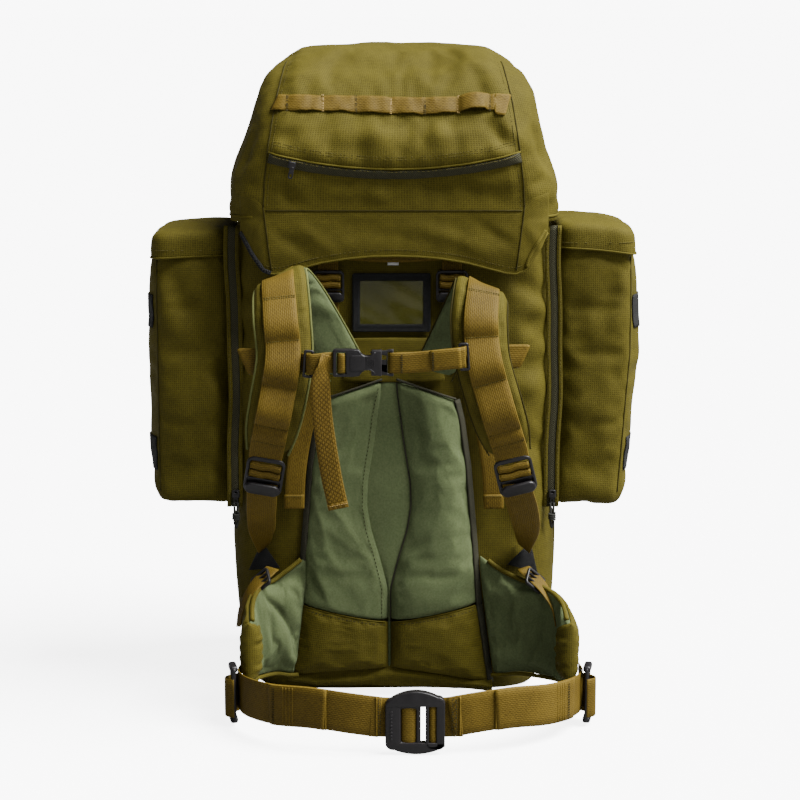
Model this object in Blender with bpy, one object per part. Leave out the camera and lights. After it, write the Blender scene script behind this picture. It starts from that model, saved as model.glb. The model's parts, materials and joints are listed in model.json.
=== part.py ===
"""Hunting backpack: a large framed rucksack with two zip-on side pockets, a hinged lid, a padded
shoulder harness with a chest strap, and a padded hip belt. Metres, +Z up. The harness faces -Y, and
the origin is on the floor under the middle of the pack. Left and right are the viewer's, looking
along +Y at the harness: left is -X."""

import math

import bmesh
import bpy
from mathutils import Matrix, Vector

# ---------------------------------------------------------------- driving sizes
GAP = 0.0003                # between pieces that rest on each other
FABRIC = 0.003              # coated cloth, its lining and seams
LID_CLOTH = 0.0025
BACK_Y = -0.030             # the bag's harness face
REACH_Y = 0.2775            # how far the belt buckle and the lid straps reach from the origin
HINGE_Y, HINGE_Z = -0.0475, 0.6095      # the seam that the lid folds on
SIDES = (("left", -1), ("right", 1))

# Levels of each sewn shell: height, low x, high x, harness y, front y, corner radius.
BAG_LEVELS = (
    (0.000, -0.165, 0.165, -0.012, 0.225, 0.045),
    (0.012, -0.182, 0.182, -0.024, 0.246, 0.048),
    (0.050, -0.190, 0.190, BACK_Y, 0.255, 0.050),
    (0.170, -0.197, 0.197, BACK_Y, 0.262, 0.050),
    (0.250, -0.2005, 0.2005, BACK_Y, 0.262, 0.050),
    (0.600, -0.2005, 0.2005, BACK_Y, 0.258, 0.050),
    (0.645, -0.198, 0.198, BACK_Y, 0.252, 0.050),
    (0.662, -0.175, 0.175, -0.012, 0.232, 0.055),
    (0.695, -0.130, 0.130, 0.015, 0.210, 0.045),
)
LID_LEVELS = (
    (0.6115, -0.2065, 0.2065, -0.0490, 0.270, 0.055),
    (0.650, -0.200, 0.200, -0.056, 0.272, 0.055),
    (0.690, -0.186, 0.186, -0.062, 0.270, 0.058),
    (0.730, -0.176, 0.176, -0.050, 0.266, 0.062),
    (0.770, -0.165, 0.165, -0.026, 0.255, 0.065),
    (0.800, -0.150, 0.150, 0.002, 0.235, 0.068),
    (0.816, -0.130, 0.130, 0.030, 0.205, 0.068),
    (0.822, -0.100, 0.100, 0.058, 0.178, 0.055),
)
POCKET_LEVELS = (
    (0.243, 0.212, 0.290, 0.028, 0.182, 0.020),
    (0.250, 0.203, 0.301, 0.014, 0.197, 0.026),
    (0.300, 0.2012, 0.306, 0.010, 0.202, 0.028),
    (0.450, 0.2012, 0.3075, 0.010, 0.204, 0.028),
    (0.545, 0.2012, 0.3050, 0.010, 0.202, 0.028),
    (0.565, 0.2100, 0.3040, 0.0105, 0.201, 0.027),
    (0.585, 0.2100, 0.303, 0.011, 0.200, 0.026),
)
POCKET_LID_LEVELS = (
    (0.5735, 0.2075, 0.3085, 0.0055, 0.2055, 0.030),
    (0.597, 0.2075, 0.3080, 0.0060, 0.2050, 0.030),
    (0.607, 0.216, 0.300, 0.014, 0.197, 0.024),
)

LID_ZIP_HALF, LID_ZIP_SAG, LID_ZIP_LOW = 0.125, 0.013, 0.668
LID_ZIP_RADIUS = (LID_ZIP_HALF ** 2 + LID_ZIP_SAG ** 2) / (2 * LID_ZIP_SAG)
SIDE_ZIP_X, SIDE_ZIP_LOW, SIDE_ZIP_TOP = 0.2025, 0.245, 0.603

WEB = 0.0018                # webbing thickness
CHEST_Z, CHEST_Y = 0.457, -0.192
BELT_SHIFT = 0.020          # the belt buckle sits this far right of the middle
BELT_FRONT_Y = -REACH_Y + 0.006     # middle of the buckle's thickness
BELT_WEB = 0.050
WING_ROOT_X, WING_ROOT_Y = 0.1335, -0.043


# ---------------------------------------------------------------- scene and materials
def clear_scene():
    for obj in list(bpy.data.objects):
        bpy.data.objects.remove(obj)


def material(name, rgb, roughness):
    mat = bpy.data.materials.new(name)
    mat.use_nodes = True
    shader = mat.node_tree.nodes["Principled BSDF"]
    shader.inputs["Base Color"].default_value = (*rgb, 1)
    shader.inputs["Roughness"].default_value = roughness
    return mat


clear_scene()
CLOTH = material("olive_cloth", (0.115, 0.105, 0.022), 0.85)
LINING = material("green_lining", (0.19, 0.24, 0.13), 0.9)
WEBBING = material("brown_webbing", (0.24, 0.155, 0.045), 0.75)
ZIP = material("grey_zip", (0.045, 0.045, 0.035), 0.7)
PLASTIC = material("black_plastic", (0.02, 0.019, 0.02), 0.4)
BLACK_TAPE = material("black_tape", (0.014, 0.014, 0.014), 0.8)
FILM = material("clear_film", (0.35, 0.36, 0.3), 0.15)
SHEET = material("frame_plastic", (0.75, 0.75, 0.72), 0.5)
CORD = material("black_cord", (0.02, 0.02, 0.02), 0.8)


# ---------------------------------------------------------------- modelling helpers
def object_from(name, bm, mat):
    """A named object from a bmesh, with its faces turned outwards and its round parts smooth."""
    bmesh.ops.remove_doubles(bm, verts=bm.verts, dist=1e-6)
    bmesh.ops.recalc_face_normals(bm, faces=bm.faces)
    mesh = bpy.data.meshes.new(name)
    bm.to_mesh(mesh)
    bm.free()
    mesh.shade_smooth()
    mesh.set_sharp_from_angle(angle=math.radians(35))
    mesh.materials.append(mat)
    obj = bpy.data.objects.new(name, mesh)
    bpy.context.scene.collection.objects.link(obj)
    return obj


def thicken(obj, thickness, offset=-1.0):
    solid = obj.modifiers.new("wall", "SOLIDIFY")
    solid.thickness = thickness
    solid.offset = offset
    solid.use_even_offset = True
    return obj


def corner_ring(x0, x1, y0, y1, radius, steps=4):
    """A rounded rectangle, anticlockwise from the low-x, low-y corner."""
    ring = []
    corners = ((x0, y0, 1, 1, 180), (x1, y0, -1, 1, 270), (x1, y1, -1, -1, 0), (x0, y1, 1, -1, 90))
    for cx, cy, sx, sy, start in corners:
        for k in range(steps + 1):
            a = math.radians(start + 90 * k / steps)
            ring.append((cx + sx * radius + radius * math.cos(a), cy + sy * radius + radius * math.sin(a)))
    return ring


def level_rings(levels):
    return [[Vector((x, y, lv[0])) for x, y in corner_ring(*lv[1:])] for lv in levels]


def loft(bm, rings, cap_first=True, cap_last=True, split=False):
    """Faces between successive closed rings, and caps on the ends that are closed. split makes
    triangles, cut the same way on both faces of a band, so that the band laid on it bends with it."""
    rows = [[bm.verts.new(p) for p in ring] for ring in rings]
    count = len(rows[0])
    for low, high in zip(rows, rows[1:]):
        for k in range(count):
            n = (k + 1) % count
            if split and k < count // 2:
                bm.faces.new((low[k], low[n], high[n]))
                bm.faces.new((low[k], high[n], high[k]))
            elif split:
                bm.faces.new((low[k], low[n], high[k]))
                bm.faces.new((low[n], high[n], high[k]))
            else:
                bm.faces.new((low[k], low[n], high[n], high[k]))
    if cap_first:
        bm.faces.new(rows[0])
    if cap_last:
        bm.faces.new(rows[-1])


def shell(name, levels, mat, thickness, open_top):
    """A sewn shell: a lofted skin, open above or below, with its thickness inwards."""
    bm = bmesh.new()
    loft(bm, level_rings(levels), cap_first=open_top, cap_last=not open_top)
    return thicken(object_from(name, bm, mat), thickness)


def block(name, levels, mat):
    """A closed lofted solid."""
    bm = bmesh.new()
    loft(bm, level_rings(levels))
    return object_from(name, bm, mat)


def mirrored(levels, side):
    """The same levels on the other side of the pack when side is -1."""
    if side > 0:
        return levels
    return tuple((z, -x1, -x0, y0, y1, r) for z, x0, x1, y0, y1, r in levels)


def at_level(levels, z):
    """The level between two stated ones at height z."""
    for low, high in zip(levels, levels[1:]):
        if z <= high[0]:
            t = max(0.0, (z - low[0]) / (high[0] - low[0]))
            return tuple(a + (b - a) * t for a, b in zip(low, high))
    return levels[-1]


def back_skin(levels, x, z):
    """The y of a shell's harness side at x and z."""
    _, x0, x1, y0, _, radius = at_level(levels, z)
    over = abs(x) - (x1 - radius)
    return y0 if over <= 0 else y0 + radius - math.sqrt(max(0.0, radius ** 2 - over ** 2))


def smooth(points, per=3):
    """Catmull-Rom points through the given ones."""
    pts = [Vector(p) for p in points]
    ends = [pts[0] * 2 - pts[1]] + pts + [pts[-1] * 2 - pts[-2]]
    out = []
    for k in range(1, len(ends) - 2):
        p0, p1, p2, p3 = ends[k - 1:k + 3]
        for step in range(per):
            t = step / per
            out.append(0.5 * (2 * p1 + (p2 - p0) * t + (2 * p0 - 5 * p1 + 4 * p2 - p3) * t ** 2
                              + (3 * p1 - p0 - 3 * p2 + p3) * t ** 3))
    return out + [pts[-1]]


def frames(points, sides):
    """Point, width direction and outward normal at each point of a band."""
    found = []
    for k, p in enumerate(points):
        along = (points[min(k + 1, len(points) - 1)] - points[max(k - 1, 0)]).normalized()
        across = (sides[k] - sides[k].dot(along) * along).normalized()
        found.append((p, across, across.cross(along).normalized()))
    return found


def band_rings(path, sides, widths, thickness, lift, per, flat):
    """Cross-sections of a band along a path. lift moves it along its normal. flat is the width that
    keeps the full thickness, where the band's edges are thinner."""
    pts = smooth(path, per)
    dirs = smooth(sides, per)
    wide = [w.x for w in smooth([(w, 0, 0) for w in widths], per)]
    rings = []
    for (p, across, normal), width in zip(frames(pts, dirs), wide):
        c = p + normal * lift
        a, n = across * width / 2, normal * thickness / 2
        if flat:
            b = across * flat / 2
            rings.append([c - a - n / 2, c - b - n, c + b - n, c + a - n / 2,
                          c + a + n / 2, c + b + n, c - b + n, c - a + n / 2])
        else:
            rings.append([c - a - n, c + a - n, c + a + n, c - a + n])
    return rings


def band(name, path, sides, widths, thickness, mat, lift=0.0, per=3, start=0, flat=0.0):
    """A closed band along a path, from the path's point number start to its end."""
    if isinstance(widths, float):
        widths = [widths] * len(path)
    if isinstance(sides[0], (int, float)):
        sides = [sides] * len(path)
    bm = bmesh.new()
    loft(bm, band_rings(path, sides, widths, thickness, lift, per, flat)[start * per:], split=True)
    return object_from(name, bm, mat)


def grid_plate(name, xs, zs, rows, thickness, mat, bevel=0.0):
    """A flat moulding in its own XZ plane. rows is read from the top down, # for material."""
    bm = bmesh.new()
    half = thickness / 2
    verts = {}

    def vert(i, k, y):
        if (i, k, y) not in verts:
            verts[i, k, y] = bm.verts.new((xs[i], y, zs[k]))
        return verts[i, k, y]

    rows = rows[::-1]

    def solid(i, k):
        return 0 <= k < len(rows) and 0 <= i < len(rows[0]) and rows[k][i] == "#"

    for k in range(len(rows)):
        for i in range(len(rows[0])):
            if not solid(i, k):
                continue
            for y in (-half, half):
                bm.faces.new([vert(a, b, y) for a, b in ((i, k), (i + 1, k), (i + 1, k + 1), (i, k + 1))])
            edges = (((i, k), (i + 1, k), (i, k - 1)), ((i + 1, k), (i + 1, k + 1), (i + 1, k)),
                     ((i + 1, k + 1), (i, k + 1), (i, k + 1)), ((i, k + 1), (i, k), (i - 1, k)))
            for a, b, beyond in edges:
                if not solid(*beyond):
                    bm.faces.new((vert(*a, -half), vert(*b, -half), vert(*b, half), vert(*a, half)))
    obj = object_from(name, bm, mat)
    if bevel:
        edge = obj.modifiers.new("rounding", "BEVEL")
        edge.width = bevel
        edge.segments = 1
        edge.limit_method = "ANGLE"
    return obj


def place(obj, location, turn_y=0.0, turn_z=0.0, turn_x=0.0):
    obj.matrix_world = (Matrix.Translation(location) @ Matrix.Rotation(math.radians(turn_z), 4, "Z")
                        @ Matrix.Rotation(math.radians(turn_y), 4, "Y")
                        @ Matrix.Rotation(math.radians(turn_x), 4, "X"))
    return obj


def cuboid(bm, low, high):
    made = bmesh.ops.create_cube(bm, size=1)["verts"]
    for v in made:
        v.co = Vector([a + (b - a) * (c + 0.5) for a, b, c in zip(low, high, v.co)])


def cutter(name, low, high):
    bm = bmesh.new()
    cuboid(bm, low, high)
    obj = object_from(name, bm, PLASTIC)
    obj.hide_render = True
    obj.display_type = "WIRE"
    return obj


def cut(obj, tool):
    boolean = obj.modifiers.new("opening", "BOOLEAN")
    boolean.operation = "DIFFERENCE"
    boolean.object = tool
    return obj


def tube(name, path, radius, mat, per=4):
    curve = bpy.data.curves.new(name, "CURVE")
    curve.dimensions = "3D"
    spline = curve.splines.new("POLY")
    pts = smooth(path, per)
    spline.points.add(len(pts) - 1)
    for point, at in zip(spline.points, pts):
        point.co = (*at, 1)
    curve.bevel_depth = radius
    curve.bevel_resolution = 1
    curve.use_fill_caps = True
    curve.materials.append(mat)
    obj = bpy.data.objects.new(name, curve)
    bpy.context.scene.collection.objects.link(obj)
    return obj


def mirror_x(points, side):
    return [Vector((p[0] * side, p[1], p[2])) for p in points]


# ---------------------------------------------------------------- bag, frame and back panel
def make_bag():
    shell("main_bag", BAG_LEVELS, CLOTH, FABRIC, open_top=True)


def make_drawcord():
    """The cord round the collar's rim, with its barrel lock and the lock's button."""
    rim = BAG_LEVELS[-1]
    radius = 0.002
    level = rim[0] + radius + 0.0006
    middle = Vector((0, rim[3] - 0.0165, level))
    lock_radius = 0.007
    ring = corner_ring(*rim[1:5], rim[5], steps=3)
    round_rim = [Vector((x, y, level)) for x, y in ring[2:] + ring[:2]]
    reach = middle + Vector((0, lock_radius + 0.0006, 0))
    path = [reach + Vector((0.0035, 0, 0)), Vector((0.020, rim[3] - 0.0010, level))]
    path += round_rim[2:] + [Vector((-0.020, rim[3] - 0.0010, level)), reach - Vector((0.0035, 0, 0))]
    tube("collar_drawcord", path, radius, CORD, per=1)
    bm = bmesh.new()
    bmesh.ops.create_cone(bm, cap_ends=True, segments=12, radius1=lock_radius, radius2=lock_radius,
                          depth=0.016)
    lock = object_from("cord_lock_body", bm, PLASTIC)
    place(lock, middle)
    cut(lock, place(cutter("lock_bore", (-0.0052, -0.0052, 0.001), (0.0052, 0.0052, 0.012)), middle))
    bm = bmesh.new()
    bmesh.ops.create_cone(bm, cap_ends=True, segments=10, radius1=0.0045, radius2=0.004, depth=0.0115)
    place(object_from("cord_lock_button", bm, PLASTIC), middle + Vector((0, 0, 0.0105)))


def make_frame():
    """A plastic frame sheet against the bag's inner back wall."""
    wall = BACK_Y + FABRIC + 2 * GAP
    block("frame_sheet", ((0.060, -0.120, 0.120, wall, wall + 0.003, 0.0010),
                          (0.585, -0.120, 0.120, wall, wall + 0.003, 0.0010)), SHEET)


def make_front_straps():
    """The bag's half of each lid closure: webbing sewn up the front to a flat keeper bar."""
    for label, side in SIDES:
        path = [(0.100 * side, at_level(BAG_LEVELS, z)[4] + 0.0020, z) for z in (0.052, 0.110, 0.169, 0.251,
                                                                                 0.476)]
        band("front_strap_" + label, path, (1, 0, 0), 0.025, WEB, WEBBING, per=1)


def make_back_pads():
    face = BACK_Y - GAP
    block("back_pad", ((0.1225, -0.114, 0.114, -0.047, face, 0.006),
                       (0.200, -0.107, 0.107, -0.048, face, 0.006),
                       (0.300, -0.094, 0.094, -0.048, face, 0.006), (0.400, -0.074, 0.074, -0.044, face,
                                                                     0.005)),
          LINING)
    block("lumbar_pad", ((0.018, -0.129, 0.129, -0.046, face, 0.006),
                         (0.070, -0.122, 0.122, -0.052, face, 0.007),
                         (0.1215, -0.114, 0.114, -0.049, face, 0.006)), CLOTH)


def curtain_low(x):
    """The lower edge of the lid's harness flap: an arch over the carry handle."""
    stations = ((0.000, 0.5675), (0.060, 0.5640), (0.115, 0.5530), (0.165, 0.5415), (0.182, 0.5480),
                (0.192, 0.575))
    for (x0, z0), (x1, z1) in zip(stations, stations[1:]):
        if abs(x) <= x1:
            return z0 + (z1 - z0) * (abs(x) - x0) / (x1 - x0)
    return stations[-1][1]


def make_lid_curtain():
    """The flap between the bag and the lid's fold, sewn to the bag at its ends."""
    bm = bmesh.new()
    half, columns, top = 0.192, 24, HINGE_Z - 0.004
    lid_edge = LID_LEVELS[0]
    rows = []
    for k in range(columns + 1):
        x = -half + 2 * half * k / columns
        y = back_skin(LID_LEVELS, x, lid_edge[0])
        low = curtain_low(x)
        rows.append([bm.verts.new((x, y, low + (top - low) * t)) for t in (0, 0.5, 1)])
    for a, b in zip(rows, rows[1:]):
        for k in range(2):
            bm.faces.new((a[k], b[k], b[k + 1], a[k + 1]))
    thicken(object_from("lid_curtain", bm, CLOTH), 0.0022, offset=0)


def make_window():
    """A card window on the back panel: a black taped frame and its clear film."""
    frame = grid_plate("id_window_frame", (-0.049, -0.0405, 0.0405, 0.049), (-0.037, -0.0285, 0.0285, 0.037),
                       ("###", "#.#", "###"), 0.0024, BLACK_TAPE)
    place(frame, (-0.003, BACK_Y - GAP - 0.0012, 0.509))
    film = grid_plate("id_window_film", (-0.040, 0.040), (-0.028, 0.028), ("#",), 0.0008, FILM)
    place(film, (-0.003, BACK_Y - GAP - 0.0012, 0.509))


def make_grab_handle():
    """A webbing carry handle, bowed off the back panel under the lid's arch."""
    path = ((-0.058, -0.0320, 0.577), (-0.040, -0.0350, 0.576), (0, -0.0415, 0.573), (0.040, -0.0350, 0.576),
            (0.058, -0.0320, 0.577))
    band("grab_handle", path, (0, 0, 1), 0.025, WEB, WEBBING)


# ---------------------------------------------------------------- side pockets and their zips
def make_pockets():
    for label, side in SIDES:
        shell("pocket_" + label, mirrored(POCKET_LEVELS, side), CLOTH, 0.0025, open_top=True)
        shell("pocket_lid_" + label, mirrored(POCKET_LID_LEVELS, side), CLOTH, 0.0018, open_top=False)


def make_side_zips():
    for label, side in SIDES:
        x = SIDE_ZIP_X * side
        tape = ((SIDE_ZIP_LOW, x - 0.0055, x + 0.0055, -0.0045, -0.0025, 0.0007),
                (SIDE_ZIP_TOP, x - 0.0055, x + 0.0055, -0.0045, -0.0025, 0.0007))
        block("side_zip_" + label, tape, ZIP)
        slider = grid_plate("zip_slider_" + label, (-0.005, -0.0025, 0.0025, 0.005),
                            (-0.0075, -0.002, 0.002, 0.0075),
                            ("###", "###", ".#."), 0.0050, PLASTIC, bevel=0.0008)
        place(slider, (x, -0.0076, SIDE_ZIP_LOW + 0.0125))
        eye = Vector((x, -0.0076, SIDE_ZIP_LOW + 0.0028))
        drop = 0.032
        path = [eye + Vector((-0.003, 0, 0)), eye + Vector((-0.0042, 0, -0.3 * drop)),
                eye + Vector((-0.0034, 0, -0.7 * drop)), eye + Vector((0, 0, -drop)),
                eye + Vector((0.0034, 0, -0.7 * drop)), eye + Vector((0.0042, 0, -0.3 * drop)),
                eye + Vector((0.003, 0, 0))]
        tube("zip_pull_" + label, path, 0.0012, CORD)


# ---------------------------------------------------------------- lid
def lid_zip_z(x):
    return LID_ZIP_LOW + LID_ZIP_RADIUS - math.sqrt(LID_ZIP_RADIUS ** 2 - x ** 2)


def make_lid():
    shell("lid_shell", LID_LEVELS, CLOTH, LID_CLOTH, open_top=False)
    z, x0, x1, y0, y1, r = at_level(LID_LEVELS, 0.722)
    inset = LID_CLOTH + 0.0022
    lining = (x0 + inset, x1 - inset, y0 + inset, y1 - inset, r - inset)
    block("lid_lining", ((0.7205, *lining), (0.7220, *lining)), CLOTH)

    def on_lid(x, z, off):
        return Vector((x, back_skin(LID_LEVELS, x, z) - off, z))

    def slope(x, z, reach):
        return on_lid(x, z + reach, 0) - on_lid(x, z - reach, 0)

    zip_x = [-0.150 + 0.0150 * k for k in range(21)]
    band("lid_zip", [on_lid(x, lid_zip_z(x), 0.0024) for x in zip_x],
         [slope(x, lid_zip_z(x), 0.006) for x in zip_x],
         0.012, 0.0020, ZIP, per=1)
    slider = grid_plate("lid_zip_slider", (-0.0055, -0.002, 0.002, 0.0055), (-0.017, -0.004, 0.004),
                        ("###", ".#."), 0.0050, PLASTIC, bevel=0.0008)
    x = -LID_ZIP_HALF
    place(slider, on_lid(0, lid_zip_z(x), 0.0068) + Vector((x, 0, 0)), turn_y=12)
    chain_x = [-0.144 + 0.0144 * k for k in range(21)]
    band("lid_daisy_chain", [on_lid(x, 0.757, 0.0038) for x in chain_x],
         [slope(x, 0.757, 0.012) for x in chain_x],
         0.024, WEB, WEBBING, per=1)
    for label, side in SIDES:
        path = mirror_x(((0.100, REACH_Y - WEB / 2, 0.660), (0.100, 0.2740, 0.610), (0.100, 0.2695, 0.560),
                         (0.100, 0.2682, 0.490)), side)
        band("lid_strap_" + label, path, (1, 0, 0), 0.025, WEB, WEBBING, per=2)
        hook = grid_plate("lid_hook_" + label, (-0.0165, -0.0130, 0.0130, 0.0165),
                          (-0.020, -0.016, -0.007, -0.003, 0.006, 0.010, 0.017, 0.020),
                          ("###", "#.#", "###", "#.#", "###", "#.#", "###"), 0.004, PLASTIC, bevel=0.0006)
        place(hook, (0.100 * side, 0.2682, 0.4690))


# ---------------------------------------------------------------- shoulder harness
# The right pad is worn in a little further than the left one, and lies lower.
PAD_PATH = {
    "left": ((-0.058, -0.050, 0.424), (-0.085, -0.060, 0.474), (-0.114, -0.080, 0.522),
             (-0.134, -0.105, 0.5455), (-0.1365, -0.138, 0.541), (-0.134, -0.161, 0.505),
             (-0.131, -0.171, 0.460), (-0.139, -0.173, 0.410), (-0.147, -0.167, 0.372),
             (-0.153, -0.158, 0.342)),
    "right": ((0.050, -0.050, 0.424), (0.070, -0.060, 0.466), (0.090, -0.080, 0.508),
              (0.1030, -0.105, 0.5335), (0.1045, -0.138, 0.531), (0.1020, -0.161, 0.500),
              (0.1060, -0.171, 0.457), (0.1205, -0.173, 0.405), (0.1315, -0.167, 0.370),
              (0.1400, -0.158, 0.342)),
}
# Direction across the pad at each of those points, for the right side.
PAD_SIDES = ((0.86, 0, -0.48), (0.84, 0, -0.52), (0.85, -0.15, -0.46), (0.88, -0.15, -0.42),
             (0.95, -0.05, -0.25),
             (1, 0, -0.05), (1, 0, 0.02), (1, 0, 0.14), (1, 0, 0.16), (1, 0, 0.16))
PAD_WIDTHS = (0.050, 0.052, 0.056, 0.062, 0.066, 0.068, 0.066, 0.066, 0.062, 0.050)
PAD = 0.014
LOCK_X = {"left": -0.1575, "right": 0.1475}
LOCK_LEAN = {"left": 10, "right": -14}


def make_shoulder_pads():
    """Each pad rises from the yoke, turns over the shoulder and comes down the front."""
    for label, side in SIDES:
        path, dirs = PAD_PATH[label], mirror_x(PAD_SIDES, side)
        widths = list(PAD_WIDTHS)
        band("shoulder_pad_" + label, path, dirs, widths, PAD, CLOTH, per=2, flat=0.046)
        # The outward normal of a band follows its width direction, which mirrors with the side.
        lift = (PAD / 2 + WEB / 2 + 0.0008) * (-side)
        band("shoulder_webbing_" + label, path, dirs, 0.043, WEB, WEBBING, lift=lift, per=2, start=3)
        lock = grid_plate("shoulder_buckle_" + label, (-0.0230, -0.0190, 0.0190, 0.0230),
                          (-0.0240, -0.0150, -0.0080, -0.0045, 0.0040, 0.0075, 0.0160, 0.0210),
                          ("###", "#.#", "###", "#.#", "###", "#.#", "###"), 0.0055, PLASTIC, bevel=0.0009)
        # It leans with the webbing, whose lower part runs back to the bag.
        place(lock, (LOCK_X[label], -0.1535, 0.3125), turn_y=LOCK_LEAN[label], turn_x=14)


def make_lower_webbing():
    """The adjusting webbing from the bag's lower corners, turning as it rises to the ladder locks."""
    for label, side in SIDES:
        top = abs(LOCK_X[label])
        path = mirror_x(((0.1655, -0.0330, 0.1940), (0.165, -0.055, 0.209), (0.165, -0.092, 0.233),
                         (0.6 * 0.165 + 0.4 * (top + 0.0035), -0.122, 0.260), (top + 0.0035, -0.143, 0.283)),
                        side)
        dirs = mirror_x(((0.35, 0.55, -0.75), (0.50, 0.45, -0.60), (0.75, 0.3, -0.3), (0.95, 0.1, 0.10),
                         (1, 0, 0.17)), side)
        band("lower_webbing_" + label, path, dirs, [0.020, 0.026, 0.034, 0.037, 0.037], WEB, WEBBING, per=2)


YOKE_LOCK_X = {"left": 0.0820, "right": 0.0725}


def make_yoke():
    block("yoke_panel", ((0.4080, -0.066, 0.066, -0.0365, -0.0312, 0.002),
                         (0.4650, -0.060, 0.060, -0.0365, -0.0312, 0.002)), CLOTH)
    for label, side in SIDES:
        top = YOKE_LOCK_X[label]
        path = mirror_x(((top, -0.0330, 0.566), (top, -0.0335, 0.520), (0.4 * top + 0.0490, -0.0338, 0.480),
                         (0.0930, -0.0340, 0.420), (0.1120, -0.0360, 0.360), (0.1230, -0.0420, 0.300),
                         (0.1260, -0.0430, 0.248)), side)
        dirs = mirror_x(((1, 0, 0), (1, 0, 0), (0.99, 0, 0.12), (0.96, 0, 0.25), (0.96, 0, 0.25),
                         (1, 0, 0.12),
                         (1, 0, 0)), side)
        band("yoke_webbing_" + label, path, dirs, 0.025, WEB, WEBBING, per=2)
        lock = grid_plate("yoke_buckle_" + label, (-0.0165, -0.0135, 0.0135, 0.0165),
                          (-0.0190, -0.0135, -0.0070, -0.0045, 0.0025, 0.0050, 0.0110, 0.0140),
                          ("###", "#.#", "###", "#.#", "###", "#.#", "###"), 0.0042, PLASTIC, bevel=0.0006)
        place(lock, (top * side, -0.0378, 0.5315))


def make_chest_strap():
    """The sternum strap: two rectangular loops on the shoulder webbing, and a side-release buckle."""
    height = 0.033
    for label, side, x, rise in (("left", -1, -0.099, -0.002), ("right", 1, 0.084, 0.0065)):
        hook = grid_plate("chest_hook_" + label, (-0.012, -0.009, 0.006, 0.009),
                          (-0.0165, -0.0135, 0.0135, 0.0165),
                          ("###", "#.#", "###"), 0.0030, PLASTIC, bevel=0.0006)
        place(hook, (x, CHEST_Y + 0.004, CHEST_Z + rise), turn_z=0 if side < 0 else 180)
    band("chest_webbing_left", ((-0.1015, CHEST_Y + 0.0005, CHEST_Z - 0.002),
                                (-0.0935, CHEST_Y - 0.0005, CHEST_Z - 0.0015),
                                (-0.0735, CHEST_Y, CHEST_Z)), (0, 0, 1), 0.025, WEB, WEBBING, per=2)
    socket = grid_plate("chest_buckle_socket", (-0.0290, -0.0255, -0.0150, -0.0115, 0.0290),
                        (-height / 2, -0.0130, 0.0130, height / 2), ("####", "#.##", "####"), 0.0110, PLASTIC,
                        bevel=0.0010)
    middle = (-0.0435, CHEST_Y, CHEST_Z)
    place(socket, middle)
    cut(socket, cutter("chest_cavity", (-0.0495, CHEST_Y - 0.0032, CHEST_Z - 0.0128),
                       (-0.0100, CHEST_Y + 0.0032, CHEST_Z + 0.0128)))
    plug = grid_plate("chest_buckle_plug", (-0.0330, -0.0090, -0.0055, 0.0010, 0.0045),
                      (-0.0160, -0.0130, -0.0118, -0.0050, 0.0050, 0.0118, 0.0130, 0.0160),
                      (".###", ".#.#", "##.#", ".#.#", "##.#", ".#.#", ".###"), 0.0052, PLASTIC, bevel=0.0006)
    place(plug, (-0.0085 + 0.0035, CHEST_Y, CHEST_Z))
    band("chest_webbing_right", ((0.0005, CHEST_Y, CHEST_Z), (0.028, CHEST_Y - 0.0010, CHEST_Z + 0.0015),
                                 (0.055, CHEST_Y - 0.0020, CHEST_Z + 0.0040), (0.080, CHEST_Y - 0.0025,
                                                                               CHEST_Z + 0.0065)),
         (0, 0, 1), 0.025, WEB, WEBBING, per=2)
    band("chest_tail", ((-0.0835, CHEST_Y - 0.0045, CHEST_Z + 0.010),
                        (-0.0850, CHEST_Y - 0.0050, CHEST_Z - 0.020),
                        (-0.0850, CHEST_Y + 0.0010, CHEST_Z - 0.070), (-0.0760, CHEST_Y + 0.0080,
                                                                       CHEST_Z - 0.135),
                        (-0.0670, CHEST_Y + 0.0120, CHEST_Z - 0.179)),
         ((1, 0.10, -0.1), (0.95, 0.30, 0), (0.93, 0.30, 0.1), (0.97, 0.10, 0.2), (0.97, 0, 0.2)),
         [0.014, 0.023, 0.025, 0.025, 0.025], WEB, WEBBING, per=2)


# ---------------------------------------------------------------- hip belt
def belt_front_x(side, offset):
    """An x on the belt's front, offset outwards from the buckle's middle."""
    return BELT_SHIFT + side * offset


WING_PATH = ((WING_ROOT_X, WING_ROOT_Y, 0), (0.156, -0.051, 0), (0.181, -0.073, 0), (0.196, -0.104, 0),
             (0.199, -0.140, 0))
WING_LOW = (0.048, 0.044, 0.042, 0.045, 0.056)
WING_HIGH = (0.182, 0.177, 0.164, 0.146, 0.120)


def make_hip_wings():
    """Curved foam wings that wrap forward from the lumbar pad."""
    for label, side in SIDES:
        shift = [0, 0.2, 0.5, 0.8, 1.0]
        plan = [Vector((p[0] * side + BELT_SHIFT * s, p[1], 0)) for p, s in zip(WING_PATH, shift)]
        heights = [(low, high, 0) for low, high in zip(WING_LOW, WING_HIGH)]
        rings = []
        thick = 0.018
        for (p, across, _), h in zip(frames(smooth(plan), [Vector((0, 0, 1))] * 13), smooth(heights)):
            k = len(rings)
            along = (smooth(plan)[min(k + 1, 12)] - smooth(plan)[max(k - 1, 0)]).normalized()
            out = Vector((along.y, -along.x, 0)) * thick / 2
            tuck = 0.006
            rings.append([Vector((p.x, p.y, h.x)) + out * 0.5, Vector((p.x, p.y, h.x + tuck)) + out,
                          Vector((p.x, p.y, h.y - tuck)) + out, Vector((p.x, p.y, h.y)) + out * 0.5,
                          Vector((p.x, p.y, h.y)) - out * 0.5, Vector((p.x, p.y, h.y - tuck)) - out,
                          Vector((p.x, p.y, h.x + tuck)) - out, Vector((p.x, p.y, h.x)) - out * 0.5])
        bm = bmesh.new()
        loft(bm, rings)
        object_from("hip_wing_" + label, bm, LINING)


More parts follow.
